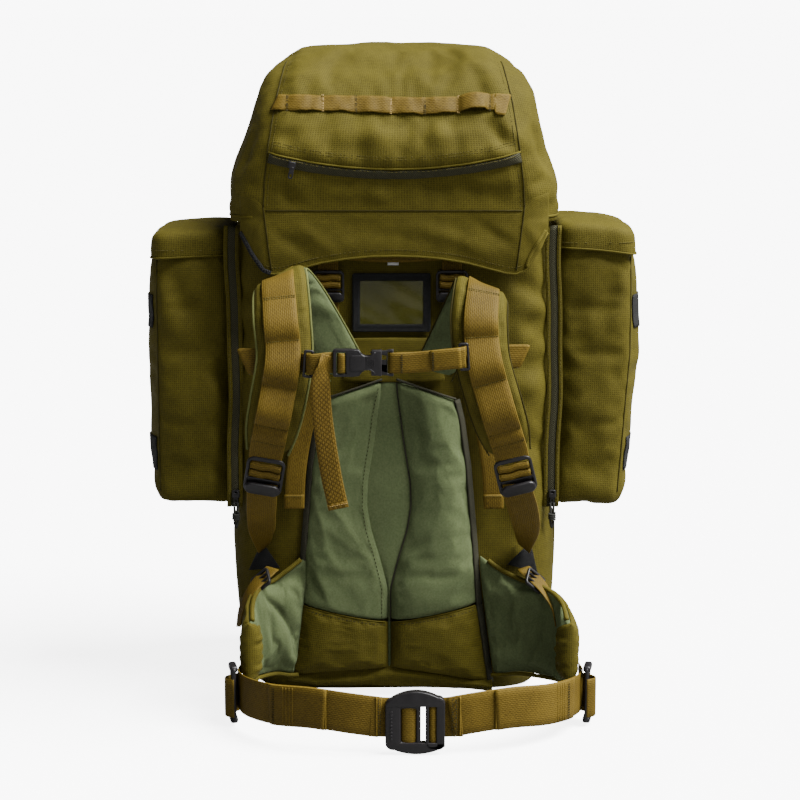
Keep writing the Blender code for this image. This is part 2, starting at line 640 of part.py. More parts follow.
def make_belt_webbing():
    """The belt's webbing, from outside each wing round to the buckle, standing on edge."""
    for label, side in SIDES:
        first = 0.0365 if side < 0 else 0.0465
        path = [(first, 0.0006, 0.0445), (0.075, 0.003, 0.0490), (0.120, 0.016, 0.0520),
                (0.165, 0.044, 0.0475),
                (0.198, 0.083, 0.0445), (0.212, 0.124, 0.0420), (0.211, 0.160, 0.0410)]
        points = [Vector((belt_front_x(side, x), BELT_FRONT_Y + y, z)) for x, y, z in path]
        band("hip_webbing_" + label, points, (0, 0, 1), BELT_WEB, WEB, WEBBING, per=2)
        glide = grid_plate("hip_adjuster_" + label, (-0.015, -0.0115, -0.0020, 0.0020, 0.0115, 0.015),
                           (-0.0355, -0.0300, 0.0300, 0.0355), ("#####", "#.#.#", "#####"), 0.0045, PLASTIC,
                           bevel=0.0008)
        place(glide, (belt_front_x(side, 0.2185), BELT_FRONT_Y + 0.118, 0.0400), turn_z=90 - 10 * side)


def make_waist_buckle():
    """A heavy two-part buckle: the plug's bars lie between the socket's top and bottom rails."""
    base, rail_low, rail_high, top = 0.002, 0.0105, 0.0600, 0.0750
    socket = grid_plate("waist_buckle_socket", (-0.0121, 0.0177, 0.0213, 0.0285, 0.0402),
                        (base, rail_low, rail_high, top), ("####", ".#.#",
                                                           "####"), 0.0120, PLASTIC, bevel=0.0020)
    place(socket, (BELT_SHIFT, BELT_FRONT_Y, 0.0))
    plug = grid_plate("waist_buckle_plug", (-0.0306, -0.0126, -0.0121, 0.0060, 0.0115),
                      (base + 0.003, rail_low + 0.001, rail_low + 0.005, rail_high - 0.005, rail_high - 0.001,
                       top - 0.003),
                      ("#...", "####", "##.#", "####", "#..."), 0.0100, PLASTIC, bevel=0.0)
    place(plug, (BELT_SHIFT, BELT_FRONT_Y, 0.0))


make_bag()
make_drawcord()
make_frame()
make_front_straps()
make_back_pads()
make_lid_curtain()
make_window()
make_grab_handle()
make_pockets()
make_side_zips()
make_lid()
make_shoulder_pads()
make_lower_webbing()
make_yoke()
make_chest_strap()
make_hip_wings()
make_belt_webbing()
make_waist_buckle()
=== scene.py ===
"""The hunting backpack's looks: sewn cloth, padding, webbing, zips and moulded hardware, built on the
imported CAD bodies. Metres, +Z up. The harness faces -Y. Left and right are the viewer's: left is -X."""

import json
import math
import bmesh
import bpy
import numpy as np
from mathutils import Matrix, Vector, noise
from mathutils.bvhtree import BVHTree

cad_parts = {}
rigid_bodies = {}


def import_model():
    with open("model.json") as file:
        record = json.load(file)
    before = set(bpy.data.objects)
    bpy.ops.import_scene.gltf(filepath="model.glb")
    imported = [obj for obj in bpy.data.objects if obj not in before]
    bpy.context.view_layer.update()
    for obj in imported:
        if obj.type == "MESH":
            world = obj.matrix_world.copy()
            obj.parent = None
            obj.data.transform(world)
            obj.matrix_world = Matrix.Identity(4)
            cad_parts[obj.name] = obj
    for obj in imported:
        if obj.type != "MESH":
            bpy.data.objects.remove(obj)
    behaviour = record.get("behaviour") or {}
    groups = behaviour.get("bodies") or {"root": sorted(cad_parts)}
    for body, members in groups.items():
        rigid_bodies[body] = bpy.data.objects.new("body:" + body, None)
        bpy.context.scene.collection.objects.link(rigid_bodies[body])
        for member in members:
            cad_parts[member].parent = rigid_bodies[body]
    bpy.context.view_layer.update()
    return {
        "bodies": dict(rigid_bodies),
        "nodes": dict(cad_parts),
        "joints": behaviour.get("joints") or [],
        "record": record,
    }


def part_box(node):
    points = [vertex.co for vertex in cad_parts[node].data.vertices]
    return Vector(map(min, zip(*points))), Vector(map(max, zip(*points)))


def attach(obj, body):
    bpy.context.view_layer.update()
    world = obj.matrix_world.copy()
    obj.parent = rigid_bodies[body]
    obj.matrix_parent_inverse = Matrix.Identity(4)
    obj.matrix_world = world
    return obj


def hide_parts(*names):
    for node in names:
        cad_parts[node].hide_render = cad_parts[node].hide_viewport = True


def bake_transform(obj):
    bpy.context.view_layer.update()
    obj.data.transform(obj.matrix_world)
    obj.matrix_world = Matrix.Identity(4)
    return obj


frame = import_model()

TAU = 2 * math.pi
BACKWARD = (0, -1, 0)
FORWARD = (0, 1, 0)
SIDES = (("left", -1), ("right", 1))
BODY = {"left": {"belt": "left_hip_belt", "lid": "left_pocket_lid", "zip": "left_zip_slider"},
        "right": {"belt": "right_hip_belt", "lid": "right_pocket_lid", "zip": "right_zip_slider"}}


# ---------------------------------------------------------------- camera, floor and light
WORLD_LIGHT = 0.14
WORLD_SEEN = 9.0
FLOOR_GLOW = 5.0


def make_stage():
    """The camera, a pale world, a plain white floor and soft studio lights."""
    camera_data = bpy.data.cameras.new("camera")
    camera_data.sensor_width = 36
    camera_data.lens = 104.5
    camera_data.clip_end = 800
    camera = bpy.data.objects.new("camera", camera_data)
    camera.location = (0, -2.92, 0.87)
    camera.rotation_euler = (math.radians(90 - 9.53), 0, math.radians(-0.15))
    bpy.context.scene.collection.objects.link(camera)
    bpy.context.scene.camera = camera

    world = bpy.data.worlds.new("world")
    world.use_nodes = True
    world.node_tree.nodes["Background"].inputs["Color"].default_value = (1, 1, 1, 1)
    # Straight ahead it matches the floor, and it lights the object only a little.
    seen = world.node_tree.nodes.new("ShaderNodeLightPath")
    level = world.node_tree.nodes.new("ShaderNodeMapRange")
    level.inputs["To Min"].default_value = WORLD_LIGHT
    level.inputs["To Max"].default_value = WORLD_SEEN
    world.node_tree.links.new(seen.outputs["Is Camera Ray"], level.inputs["Value"])
    world.node_tree.links.new(level.outputs["Result"], world.node_tree.nodes["Background"].inputs["Strength"])
    bpy.context.scene.world = world

    bm = bmesh.new()
    bmesh.ops.create_grid(bm, x_segments=2, y_segments=2, size=300)
    mesh = bpy.data.meshes.new("floor")
    bm.to_mesh(mesh)
    bm.free()
    floor = bpy.data.objects.new("floor", mesh)
    floor.location = (0, 0, -0.0005)
    bpy.context.scene.collection.objects.link(floor)
    white = bpy.data.materials.new("floor")
    white.use_nodes = True
    bsdf = white.node_tree.nodes["Principled BSDF"]
    # The floor looks white, and throws back less light than white would, as a raised studio sweep does.
    path = white.node_tree.nodes.new("ShaderNodeLightPath")
    tone = white.node_tree.nodes.new("ShaderNodeMix")
    tone.data_type = "RGBA"
    tone.inputs["A"].default_value = (0.20, 0.20, 0.20, 1)
    tone.inputs["B"].default_value = (0.95, 0.95, 0.95, 1)
    white.node_tree.links.new(path.outputs["Is Camera Ray"], tone.inputs["Factor"])
    white.node_tree.links.new(tone.outputs["Result"], bsdf.inputs["Base Color"])
    bsdf.inputs["Roughness"].default_value = 0.9
    # A studio floor lit from below: it glows for the camera, so the shadows on it stay pale.
    bsdf.inputs["Emission Color"].default_value = (1, 1, 1, 1)
    glow = white.node_tree.nodes.new("ShaderNodeMath")
    glow.operation = "MULTIPLY"
    white.node_tree.links.new(path.outputs["Is Camera Ray"], glow.inputs[0])
    glow.inputs[1].default_value = FLOOR_GLOW
    white.node_tree.links.new(glow.outputs[0], bsdf.inputs["Emission Strength"])
    mesh.materials.append(white)

    def area(name, location, aim, size, power):
        data = bpy.data.lights.new(name, "AREA")
        data.shape = "DISK"
        data.size = size
        data.energy = power
        light = bpy.data.objects.new(name, data)
        light.location = location
        light.rotation_euler = (Vector(aim) - Vector(location)).to_track_quat("-Z", "Y").to_euler()
        bpy.context.scene.collection.objects.link(light)

    sun_data = bpy.data.lights.new("overhead", "SUN")
    sun_data.energy = 16.0
    sun_data.angle = math.radians(38)
    sun = bpy.data.objects.new("overhead", sun_data)
    sun.rotation_euler = Vector((-1.75, 0.42, -2.6)).to_track_quat("-Z", "Y").to_euler()
    bpy.context.scene.collection.objects.link(sun)
    area("front", (1.1, -2.6, 2.6), (0, 0, 0.3), 1.6, 24)


# ---------------------------------------------------------------- materials


class Shader:
    """A Principled material whose node graph is built by short calls."""

    def __init__(self, name, roughness=0.8, sheen=0.0, specular=0.12):
        self.mat = bpy.data.materials.new(name)
        self.mat.use_nodes = True
        self.tree = self.mat.node_tree
        self.bsdf = self.tree.nodes["Principled BSDF"]
        self.bsdf.inputs["Roughness"].default_value = roughness
        self.bsdf.inputs["Sheen Weight"].default_value = sheen
        self.bsdf.inputs["Sheen Roughness"].default_value = 0.5
        self.bsdf.inputs["Specular IOR Level"].default_value = specular
        coords = self.tree.nodes.new("ShaderNodeTexCoord")
        self.uv, self.object = coords.outputs["UV"], coords.outputs["Object"]

    def put(self, socket, value):
        if isinstance(value, bpy.types.NodeSocket):
            self.tree.links.new(value, socket)
        else:
            socket.default_value = value

    def math(self, operation, a, b=0.0):
        node = self.tree.nodes.new("ShaderNodeMath")
        node.operation = operation
        self.put(node.inputs[0], a)
        self.put(node.inputs[1], b)
        return node.outputs[0]

    def axes(self, vector):
        node = self.tree.nodes.new("ShaderNodeSeparateXYZ")
        self.put(node.inputs[0], vector)
        return node.outputs

    def noise(self, vector, scale, detail=3.0, roughness=0.55):
        node = self.tree.nodes.new("ShaderNodeTexNoise")
        self.put(node.inputs["Vector"], vector)
        node.inputs["Scale"].default_value = scale
        node.inputs["Detail"].default_value = detail
        node.inputs["Roughness"].default_value = roughness
        return node.outputs["Fac"]

    def scaled(self, vector, factors):
        node = self.tree.nodes.new("ShaderNodeVectorMath")
        node.operation = "MULTIPLY"
        self.put(node.inputs[0], vector)
        node.inputs[1].default_value = factors
        return node.outputs[0]

    def wave(self, value, pitch):
        """A sine from -1 to 1 with that pitch in metres."""
        return self.math("SINE", self.math("MULTIPLY", value, TAU / pitch))

    def ramp(self, value, low, high, first=0.0, last=1.0):
        node = self.tree.nodes.new("ShaderNodeMapRange")
        self.put(node.inputs["Value"], value)
        for socket, number in zip(("From Min", "From Max", "To Min", "To Max"), (low, high, first, last)):
            node.inputs[socket].default_value = number
        return node.outputs["Result"]

    def mix(self, factor, a, b, blend="MIX"):
        node = self.tree.nodes.new("ShaderNodeMix")
        node.data_type = "RGBA"
        node.blend_type = blend
        self.put(node.inputs["Factor"], factor)
        self.put(node.inputs["A"], (*a, 1) if isinstance(a, tuple) else a)
        self.put(node.inputs["B"], (*b, 1) if isinstance(b, tuple) else b)
        return node.outputs["Result"]

    def worn(self, color, light, amount=0.5):
        """Lighter where an edge sticks out, as handled cloth and plastic are."""
        geometry = self.tree.nodes.new("ShaderNodeNewGeometry")
        edge = self.ramp(geometry.outputs["Pointiness"], 0.53, 0.62, 0.0, amount)
        return self.mix(edge, color, light)

    def bump(self, height, distance, strength=1.0, below=None):
        node = self.tree.nodes.new("ShaderNodeBump")
        node.inputs["Distance"].default_value = distance
        node.inputs["Strength"].default_value = strength
        self.put(node.inputs["Height"], height)
        if below is not None:
            self.put(node.inputs["Normal"], below)
        return node.outputs["Normal"]

    def done(self, color, normal=None, roughness=None):
        self.put(self.bsdf.inputs["Base Color"], color)
        if normal is not None:
            self.put(self.bsdf.inputs["Normal"], normal)
        if roughness is not None:
            self.put(self.bsdf.inputs["Roughness"], roughness)
        return self.mat


def cloth_material(name, dark, light, rib=0.0024, thread=0.0012):
    """Coated plain-weave nylon: fine weft ribs, a faint square grid and uneven threads."""
    s = Shader(name, 0.82, 0.02)
    s.bsdf.inputs["Sheen Tint"].default_value = (0.6, 0.55, 0.15, 1)
    u, v, _ = s.axes(s.uv)
    warp = s.ramp(s.wave(u, rib), -1, 1)
    weft = s.ramp(s.wave(v, rib), -1, 1)
    fine = s.math("MULTIPLY", s.wave(u, thread), s.wave(v, thread))
    streak_u = s.noise(s.scaled(s.uv, (260, 1500, 1)), 1, 2)
    streak_v = s.noise(s.scaled(s.uv, (1500, 260, 1)), 1, 2)
    slub = s.math("MAXIMUM", streak_u, streak_v)
    weave = s.math("ADD", s.math("MULTIPLY", s.math("MAXIMUM", warp, weft), 0.40),
                   s.math("MULTIPLY", fine, 0.18))
    weave = s.math("ADD", weave, s.math("MULTIPLY", slub, 0.85))
    blotch = s.noise(s.object, 9, 4)
    soil = s.noise(s.object, 60, 3)
    tone = s.math("ADD", s.ramp(weave, 0.35, 1.15, 0.0, 0.80), s.ramp(blotch, 0.3, 0.7, -0.07, 0.07))
    tone = s.math("ADD", tone, s.ramp(soil, 0.3, 0.7, -0.05, 0.05))
    color = s.worn(s.mix(tone, dark, light), tuple(min(1, c * 1.3) for c in light), 0.10)
    soft = s.bump(s.noise(s.object, 45, 4), 0.0022, 0.24)
    return s.done(color, s.bump(weave, 0.0005, 0.75, soft), s.ramp(weave, 0, 1, 0.88, 0.72))


def webbing_material(name, dark, light, cord=0.0024, diamond=0.0044, mesh=0.13):
    """Flat nylon webbing: raised warp cords, crossed by a broken diagonal weave."""
    s = Shader(name, 0.62, 0.0, 0.10)
    u, v, _ = s.axes(s.uv)
    left = s.wave(s.math("ADD", v, u), diamond)
    right = s.wave(s.math("SUBTRACT", v, u), diamond)
    cords = s.wave(u, cord)
    picks = s.wave(v, 0.0013)
    crossed = s.ramp(s.math("MINIMUM", left, right), -1, 0.1, -1, 1)
    weave = s.math("ADD", s.math("MULTIPLY", crossed, mesh), s.math("MULTIPLY", cords, 0.20))
    weave = s.math("ADD", weave, s.math("MULTIPLY", picks, 0.12))
    blotch = s.noise(s.object, 14, 4)
    fuzz = s.noise(s.scaled(s.uv, (1400, 220, 1)), 1, 2)
    tone = s.math("ADD", s.ramp(weave, -0.5, 0.6, 0.10, 0.80), s.ramp(blotch, 0.3, 0.7, -0.15, 0.15))
    tone = s.math("ADD", tone, s.ramp(fuzz, 0.3, 0.7, -0.22, 0.22))
    color = s.worn(s.mix(tone, dark, light), tuple(min(1, c * 1.4) for c in light), 0.3)
    return s.done(color, s.bump(weave, 0.0004, 0.8), s.ramp(weave, -1, 1, 0.72, 0.54))


def lining_material(name, dark, light):
    """Brushed spacer lining over foam."""
    s = Shader(name, 0.9, 0.05)
    s.bsdf.inputs["Sheen Tint"].default_value = (0.5, 0.6, 0.35, 1)
    u, v, _ = s.axes(s.uv)
    knit = s.math("MULTIPLY", s.wave(u, 0.0016), s.wave(v, 0.0013))
    nap = s.noise(s.object, 420, 3)
    blotch = s.noise(s.object, 12, 4)
    tone = s.math("ADD", s.ramp(knit, -1, 1, 0.15, 0.6), s.ramp(nap, 0.3, 0.7, -0.1, 0.2))
    tone = s.math("ADD", tone, s.ramp(blotch, 0.3, 0.7, -0.12, 0.12))
    soft = s.bump(s.noise(s.object, 38, 4), 0.002, 0.35)
    return s.done(s.mix(tone, dark, light), s.bump(s.math("ADD", knit, nap), 0.0003, 0.6, soft))


def tape_material(name, dark, light, pitch=0.0028):
    """Woven zip or binding tape, with a herringbone twill."""
    s = Shader(name, 0.75, 0.0)
    u, v, _ = s.axes(s.uv)
    twill = s.wave(s.math("ADD", v, s.math("ABSOLUTE", u)), pitch)
    fuzz = s.noise(s.object, 800, 2)
    tone = s.math("ADD", s.ramp(twill, -1, 1, 0.1, 0.8), s.ramp(fuzz, 0.3, 0.7, -0.15, 0.15))
    return s.done(s.mix(tone, dark, light), s.bump(twill, 0.0003, 0.8))


def plastic_material(name, color, roughness=0.42):
    """Moulded acetal with a fine spark-eroded grain and scuffed edges."""
    s = Shader(name, roughness, 0.0, 0.28)
    s.bsdf.inputs["Coat Weight"].default_value = 0.08
    s.bsdf.inputs["Coat Roughness"].default_value = 0.3
    grain = s.noise(s.object, 1600, 2)
    scuff = s.noise(s.object, 90, 5)
    tint = s.mix(s.ramp(scuff, 0.35, 0.75, 0.0, 0.6), color, tuple(c * 1.7 for c in color))
    worn = s.worn(tint, tuple(c * 4 for c in color), 0.5)
    rough = s.ramp(scuff, 0.3, 0.7, roughness - 0.08, roughness + 0.12)
    return s.done(worn, s.bump(grain, 0.00012, 0.5), rough)


def film_material(name):
    """Clear vinyl pressed on the cloth behind it, so it shows as a gloss in the cloth's own colour."""
    s = Shader(name, 0.14, 0.0, 0.25)
    s.bsdf.inputs["Alpha"].default_value = 0.90
    s.bsdf.inputs["IOR"].default_value = 1.5
    wave = s.noise(s.object, 24, 2)
    return s.done(s.mix(s.ramp(wave, 0.3, 0.7), (0.036, 0.036, 0.005), (0.062, 0.060, 0.011)),
                  s.bump(wave, 0.0016, 0.3))


def cord_material(name, dark, light):
    """Braided cord."""
    s = Shader(name, 0.8, 0.0)
    x, _, z = s.axes(s.object)
    braid = s.math("MULTIPLY", s.wave(s.math("ADD", z, x), 0.0022), s.wave(s.math("SUBTRACT", z, x), 0.0022))
    return s.done(s.mix(s.ramp(braid, -1, 1), dark, light), s.bump(braid, 0.0003, 0.8))


CLOTH = cloth_material("cloth_olive", (0.024, 0.019, 0.0006), (0.112, 0.093, 0.009))
CLOTH_IN = cloth_material("cloth_inside", (0.020, 0.018, 0.002), (0.050, 0.045, 0.008))
# Seam lines: a darker cloth whose dark colour is painted shade, standing in for the shade in a sewn groove.
SEAM_SHADE = cloth_material("cloth_seam", (0.010, 0.008, 0.0004), (0.048, 0.040, 0.004))
WEBBING = webbing_material("webbing_brown", (0.034, 0.021, 0.0015), (0.142, 0.094, 0.013))
LINING = lining_material("lining_sage", (0.046, 0.062, 0.024), (0.122, 0.150, 0.068))
PIPING = lining_material("piping_sage", (0.060, 0.066, 0.016), (0.145, 0.155, 0.050))
ZIP = tape_material("zip_grey", (0.015, 0.0145, 0.0070), (0.058, 0.056, 0.030))
# Dark binding tape: the real binding's colour, also used as painted shade for a seam and along the padding's
# top.
BINDING_AND_SHADE = tape_material("binding_and_shade", (0.012, 0.012, 0.007), (0.055, 0.053, 0.034), 0.0022)
BLACK = tape_material("tape_black", (0.008, 0.008, 0.008), (0.028, 0.028, 0.028), 0.0030)
WEBBING_TAIL = webbing_material("webbing_tail", (0.028, 0.017, 0.0012), (0.148, 0.094, 0.014),
                                diamond=0.0062, mesh=0.34)
PLASTIC = plastic_material("plastic_black", (0.0048, 0.0040, 0.0044))
THREAD = cord_material("thread_olive", (0.030, 0.024, 0.004), (0.110, 0.095, 0.024))
THREAD_LIGHT = cord_material("thread_tan", (0.200, 0.130, 0.040), (0.420, 0.300, 0.120))
CORD = cord_material("cord_grey", (0.010, 0.010, 0.009), (0.050, 0.050, 0.044))
THREAD_DARK = cord_material("thread_dark", (0.010, 0.009, 0.003), (0.030, 0.028, 0.010))
FILM = film_material("film_clear")
LABEL = tape_material("label_white", (0.55, 0.55, 0.53), (0.80, 0.80, 0.78), 0.0010)
SHEET = plastic_material("sheet_white", (0.62, 0.62, 0.60), 0.5)


# ---------------------------------------------------------------- mesh helpers
def catmull(points, per):
    """Catmull-Rom samples through rows of numbers."""
    pts = np.asarray(points, float)
    ends = np.vstack([2 * pts[0] - pts[1], pts, 2 * pts[-1] - pts[-2]])
    t = (np.arange(per) / per)[:, None]
    out = []
    for a, b, c, d in zip(ends, ends[1:], ends[2:], ends[3:]):
        curve = 2 * b + (c - a) * t + (2 * a - 5 * b + 4 * c - d) * t ** 2
        out.append(0.5 * (curve + (3 * b - a - 3 * c + d) * t ** 3))
    return np.vstack(out + [pts[-1:]])


def smooth(values, per):
    """Catmull-Rom samples through plain numbers."""
    return catmull(np.array(values)[:, None], per)[:, 0]


def unit(rows):
    """Vectors made one long."""
    return rows / np.maximum(np.linalg.norm(rows, axis=-1, keepdims=True), 1e-9)


def resample(points, count):
    """That many points, evenly spaced along a line."""
    pts = np.asarray(points, float)
    along = np.concatenate([[0], np.cumsum(np.linalg.norm(np.diff(pts, axis=0), axis=1))])
    want = np.linspace(0, along[-1], count)
    return np.stack([np.interp(want, along, pts[:, k]) for k in range(pts.shape[1])], axis=1)


def running(grid, axis):
    """Distance from the first row or column, averaged over the other direction."""
    steps = np.linalg.norm(np.diff(grid, axis=axis), axis=2)
    steps = steps.mean(axis=1 - axis)
    return np.concatenate([[0], np.cumsum(steps)])


def add(name, mesh, mat):
    """An object from a mesh, with its material and the slot that goes with it."""
    mesh.materials.clear()
    mesh.materials.append(mat)
    obj = bpy.data.objects.new(name, mesh)
    bpy.context.scene.collection.objects.link(obj)
    return obj


def surface(name, grid, mat, closed=False, caps=False, us=None, flip=False):
    """A quad sheet through a grid of points. closed joins the last column to the first."""
    grid = np.asarray(grid, float)
    rows, cols = grid.shape[:2]
    whole = np.concatenate([grid, grid[:, :1]], axis=1) if closed else grid
    u = running(whole, 1) if us is None else us
    v = running(grid, 0)
    faces, uvs = [], []
    for i in range(rows - 1):
        for j in range(cols if closed else cols - 1):
            k = (j + 1) % cols
            quad = [(i, j, j), (i, k, j + 1), (i + 1, k, j + 1), (i + 1, j, j)]
            if flip:
                quad.reverse()
            faces.append([r * cols + c for r, c, _ in quad])
            uvs += [(u[m], v[r]) for r, _, m in quad]
    if caps:
        first, last = list(range(cols))[::-1], [(rows - 1) * cols + j for j in range(cols)]
        for face in (first, last):
            faces.append(face[::-1] if flip else face)
            uvs += [(grid[f // cols, f % cols, 0], grid[f // cols, f % cols, 1]) for f in faces[-1]]
    mesh = bpy.data.meshes.new(name)
    mesh.from_pydata(grid.reshape(-1, 3).tolist(), [], faces)
    layer = mesh.uv_layers.new(name="UVMap")
    layer.data.foreach_set("uv", np.array(uvs, np.float32).ravel())
    mesh.shade_smooth()
    return add(name, mesh, mat)


def modifier(obj, kind, **settings):
    """Add a modifier with the given settings."""
    mod = obj.modifiers.new(kind.lower(), kind)
    for key, value in settings.items():
        setattr(mod, key, value)
    return obj


def subdivide(obj, levels=1):
    """Smooth a piece by subdivision."""
    return modifier(obj, "SUBSURF", levels=levels, render_levels=levels)


def solid(obj, thickness, offset=-1.0):
    """Give a sheet its thickness."""
    return modifier(obj, "SOLIDIFY", thickness=thickness, offset=offset)


def box(node):
    """A CAD node's lowest corner, highest corner and middle."""
    low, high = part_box(node)
    return low, high, (low + high) / 2


def rim_pins(grid, columns, ends=1):
    """Pins that hold a padded half's flat side, its first column and that many rows at each end."""
    pins = np.zeros(grid.shape[:2])
    pins[:, columns - 1:] = 1
    pins[:, 0] = 1
    pins[:ends], pins[-ends:] = 1, 1
    return pins


def put(obj, body, *nodes):
    """Ride on a body and stand for its CAD nodes."""
    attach(obj, body)
    if nodes:
        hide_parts(*nodes)
    return obj


def ring(level, count):
    """Evenly spaced points round a rounded rectangle, from the middle of its far side."""
    z, x0, x1, y0, y1, r = level
    xm = (x0 + x1) / 2
    line = [(xm, y1)]
    for cx, cy, start in ((x0 + r, y1 - r, 90), (x0 + r, y0 + r, 180), (x1 - r, y0 + r, 270),
                          (x1 - r, y1 - r, 0)):
        for k in range(9):
            a = math.radians(start + 90 * k / 8)
            line.append((cx + r * math.cos(a), cy + r * math.sin(a)))
    line.append((xm, y1))
    pts = resample(line, count + 1)[:-1]
    return np.column_stack([pts, np.full(count, z)])


def shell_grid(levels, rows, count, cap_low=0, cap_high=0):
    """A lofted grid through levels, whose ends close over with that many shrinking rows."""
    fine = resample(catmull(levels, 6), rows)
    grid = [ring(level, count) for level in fine]

    def cap(edge, steps, rise):
        middle = edge.mean(axis=0)
        out = []
        for k in range(1, steps + 1):
            t = k / steps
            row = middle + (edge - middle) * (1 - 0.97 * t)
            row[:, 2] += rise * math.sin(t * math.pi / 2)
            out.append(row)
        return out

    if cap_low:
        grid = cap(grid[0], cap_low, 0)[::-1] + grid
    if cap_high:
        grid = grid + cap(grid[-1], cap_high, 0.004)
    return np.array(grid)


def settle(grid, pins, pressure, shrink, cap, frames, seed=0):
    """Blow a stitched skin up as cloth, held where pins is 1, and return where its points end."""
    grid = np.asarray(grid, float)
    obj = surface("cloth_%d" % seed, grid, CLOTH, closed=True)
    group = obj.vertex_groups.new(name="pins")
    for index, weight in enumerate(np.asarray(pins, float).ravel()):
        if weight > 0:
            group.add([index], weight, "REPLACE")
    mod = obj.modifiers.new("cloth", "CLOTH")
    s = mod.settings
    s.quality = 6
    s.mass = 0.35
    s.tension_stiffness = s.compression_stiffness = 18
    s.shear_stiffness = 8
    s.bending_stiffness = 0.6
    s.air_damping = 2
    s.use_pressure = True
    s.uniform_pressure_force = pressure
    s.shrink_min = shrink
    s.vertex_group_mass = "pins"
    s.effector_weights.gravity = 0
    mod.collision_settings.use_collision = False
    mod.point_cache.frame_end = frames
    for step in range(1, frames + 1):
        bpy.context.scene.frame_set(step)
    done = obj.evaluated_get(bpy.context.evaluated_depsgraph_get()).data
    moved = np.array([v.co for v in done.vertices]).reshape(grid.shape)
    bpy.data.objects.remove(obj)
    bpy.context.scene.frame_set(1)
    delta = moved - grid
    length = np.linalg.norm(delta, axis=2, keepdims=True)
    return grid + delta * np.minimum(1, cap / np.maximum(length, 1e-9))


def grid_normals(grid, closed=True):
    """Unit normals of a grid, from its neighbours."""
    along = np.gradient(grid, axis=0)
    if closed:
        across = np.roll(grid, -1, axis=1) - np.roll(grid, 1, axis=1)
    else:
        across = np.gradient(grid, axis=1)
    return unit(np.cross(across, along))


def crumple(grid, height, scale, seed, stretch=(1, 1, 1), closed=True, mask=None):
    """Small soft folds, as noise along the grid's normals."""
    normals = grid_normals(grid, closed)
    out = grid.copy()
    for i in range(grid.shape[0]):
        for j in range(grid.shape[1]):
            p = grid[i, j] * scale * np.array(stretch) + seed * 7.3
            n = noise.fractal(Vector(p), 0.9, 2.1, 3)
            out[i, j] += normals[i, j] * height * n * (1 if mask is None else mask[i, j])
    return out


def creases(grid, lines, side=1, closed=True, front=None):
    """Push soft folds into a grid: each line is a start, an end, a half width and a height.
    With front, the lines are followed straight through the faces ahead of that depth."""
    normals = grid_normals(grid, closed)
    out = grid.copy()
    for start, end, width, height in lines:
        a = np.array(start) * (side, 1, 1)
        b = np.array(end) * (side, 1, 1)
        along = np.clip(((grid - a) @ (b - a)) / np.dot(b - a, b - a), 0, 1)[..., None]
        gap = (grid - (a + (b - a) * along)) * (1, front is None, 1)
        gap = np.linalg.norm(gap, axis=2)
        fade = np.sin(np.clip(along[..., 0] * 0.9 + 0.05, 0, 1) * math.pi) ** 0.6
        if front is not None:
            fade = fade * np.clip((front - grid[..., 1]) / 0.02, 0, 1)
        out += normals * (height * fade * np.exp(-(gap / width) ** 2))[..., None]
    return out


class Skin:
    """Where a finished cloth surface lies, for what is sewn onto it."""

    def __init__(self, *objects):
        bpy.context.view_layer.update()
        graph = bpy.context.evaluated_depsgraph_get()
        verts, faces = [], []
        for obj in objects:
            mesh = obj.evaluated_get(graph).to_mesh()
            start = len(verts)
            verts += [obj.matrix_world @ v.co for v in mesh.vertices]
            faces += [[start + i for i in p.vertices] for p in mesh.polygons]
            obj.evaluated_get(graph).to_mesh_clear()
        self.tree = BVHTree.FromPolygons(verts, faces)

    def cast(self, origin, direction, off):
        hit, normal, _, _ = self.tree.ray_cast(Vector(origin), Vector(direction))
        if hit is None:
            return None, None
        if normal.dot(Vector(direction)) > 0:
            normal = -normal
        return hit + normal * off, normal

    def back(self, x, z, off=0.0):
        """On the harness side, at x and z."""
        return self.cast((x, -1, z), (0, 1, 0), off)

    def front(self, x, z, off=0.0):
        return self.cast((x, 1, z), (0, -1, 0), off)

    def side(self, side, y, z, off=0.0):
        return self.cast((side, y, z), (-side, 0, 0), off)


def frames_along(path, normals):
    """Width direction and true normal at each point of a line."""
    path, normals = np.asarray(path, float), np.asarray(normals, float)
    tangent = unit(np.gradient(path, axis=0))
    across = unit(np.cross(tangent, normals))
    return across, np.cross(across, tangent)


SECTION = ((-0.5, 0.0), (-0.475, 0.42), (-0.3, 0.5), (0.0, 0.5), (0.3, 0.5), (0.475, 0.42), (0.5, 0.0),
           (0.475, -0.42), (0.3, -0.5), (0.0, -0.5), (-0.3, -0.5), (-0.475, -0.42))


def strap(name, path, normals, width, mat, thick=0.0018, per=4, puff=None, bow=0.0):
    """A flat strap along a path, whose normals face out: one for all of it, or one for each point.
    puff lifts it between its rows of stitches."""
    normals = catmull(np.broadcast_to(np.asarray(normals, float), np.shape(path)), per)
    path = catmull(path, per)
    widths = np.full(len(path), width) if np.isscalar(width) else smooth(width, per)
    across, out = frames_along(path, normals)
    if puff is not None:
        path = path + out * puff(running(path[:, None], 0))[:, None]
        across, out = frames_along(path, normals)
    grid = []
    for p, a, n, w in zip(path, across, out, widths):
        grid.append([p + a * w * s + n * (thick * h + bow * (0.25 - s * s)) for s, h in SECTION])
    us = [s * widths.max() for s, _ in SECTION] + [-0.5 * widths.max()]
    return surface(name, grid, mat, closed=True, caps=True, us=us)


def tube(name, path, radius, mat, per=4, sides=8):
    """A round cord or piping along a path."""
    pts = catmull(path, per) if per > 1 else np.asarray(path, float)
    tangent = unit(np.gradient(pts, axis=0))
    side = np.cross(tangent[0], (0.31, 0.2, 0.93))
    grid = []
    for p, t in zip(pts, tangent):
        side = side - t * np.dot(side, t)
        side /= np.linalg.norm(side)
        up = np.cross(t, side)
        turns = (TAU * k / sides for k in range(sides))
        grid.append([p + radius * (side * math.cos(a) + up * math.sin(a)) for a in turns])
    return surface(name, grid, mat, closed=True, caps=True)


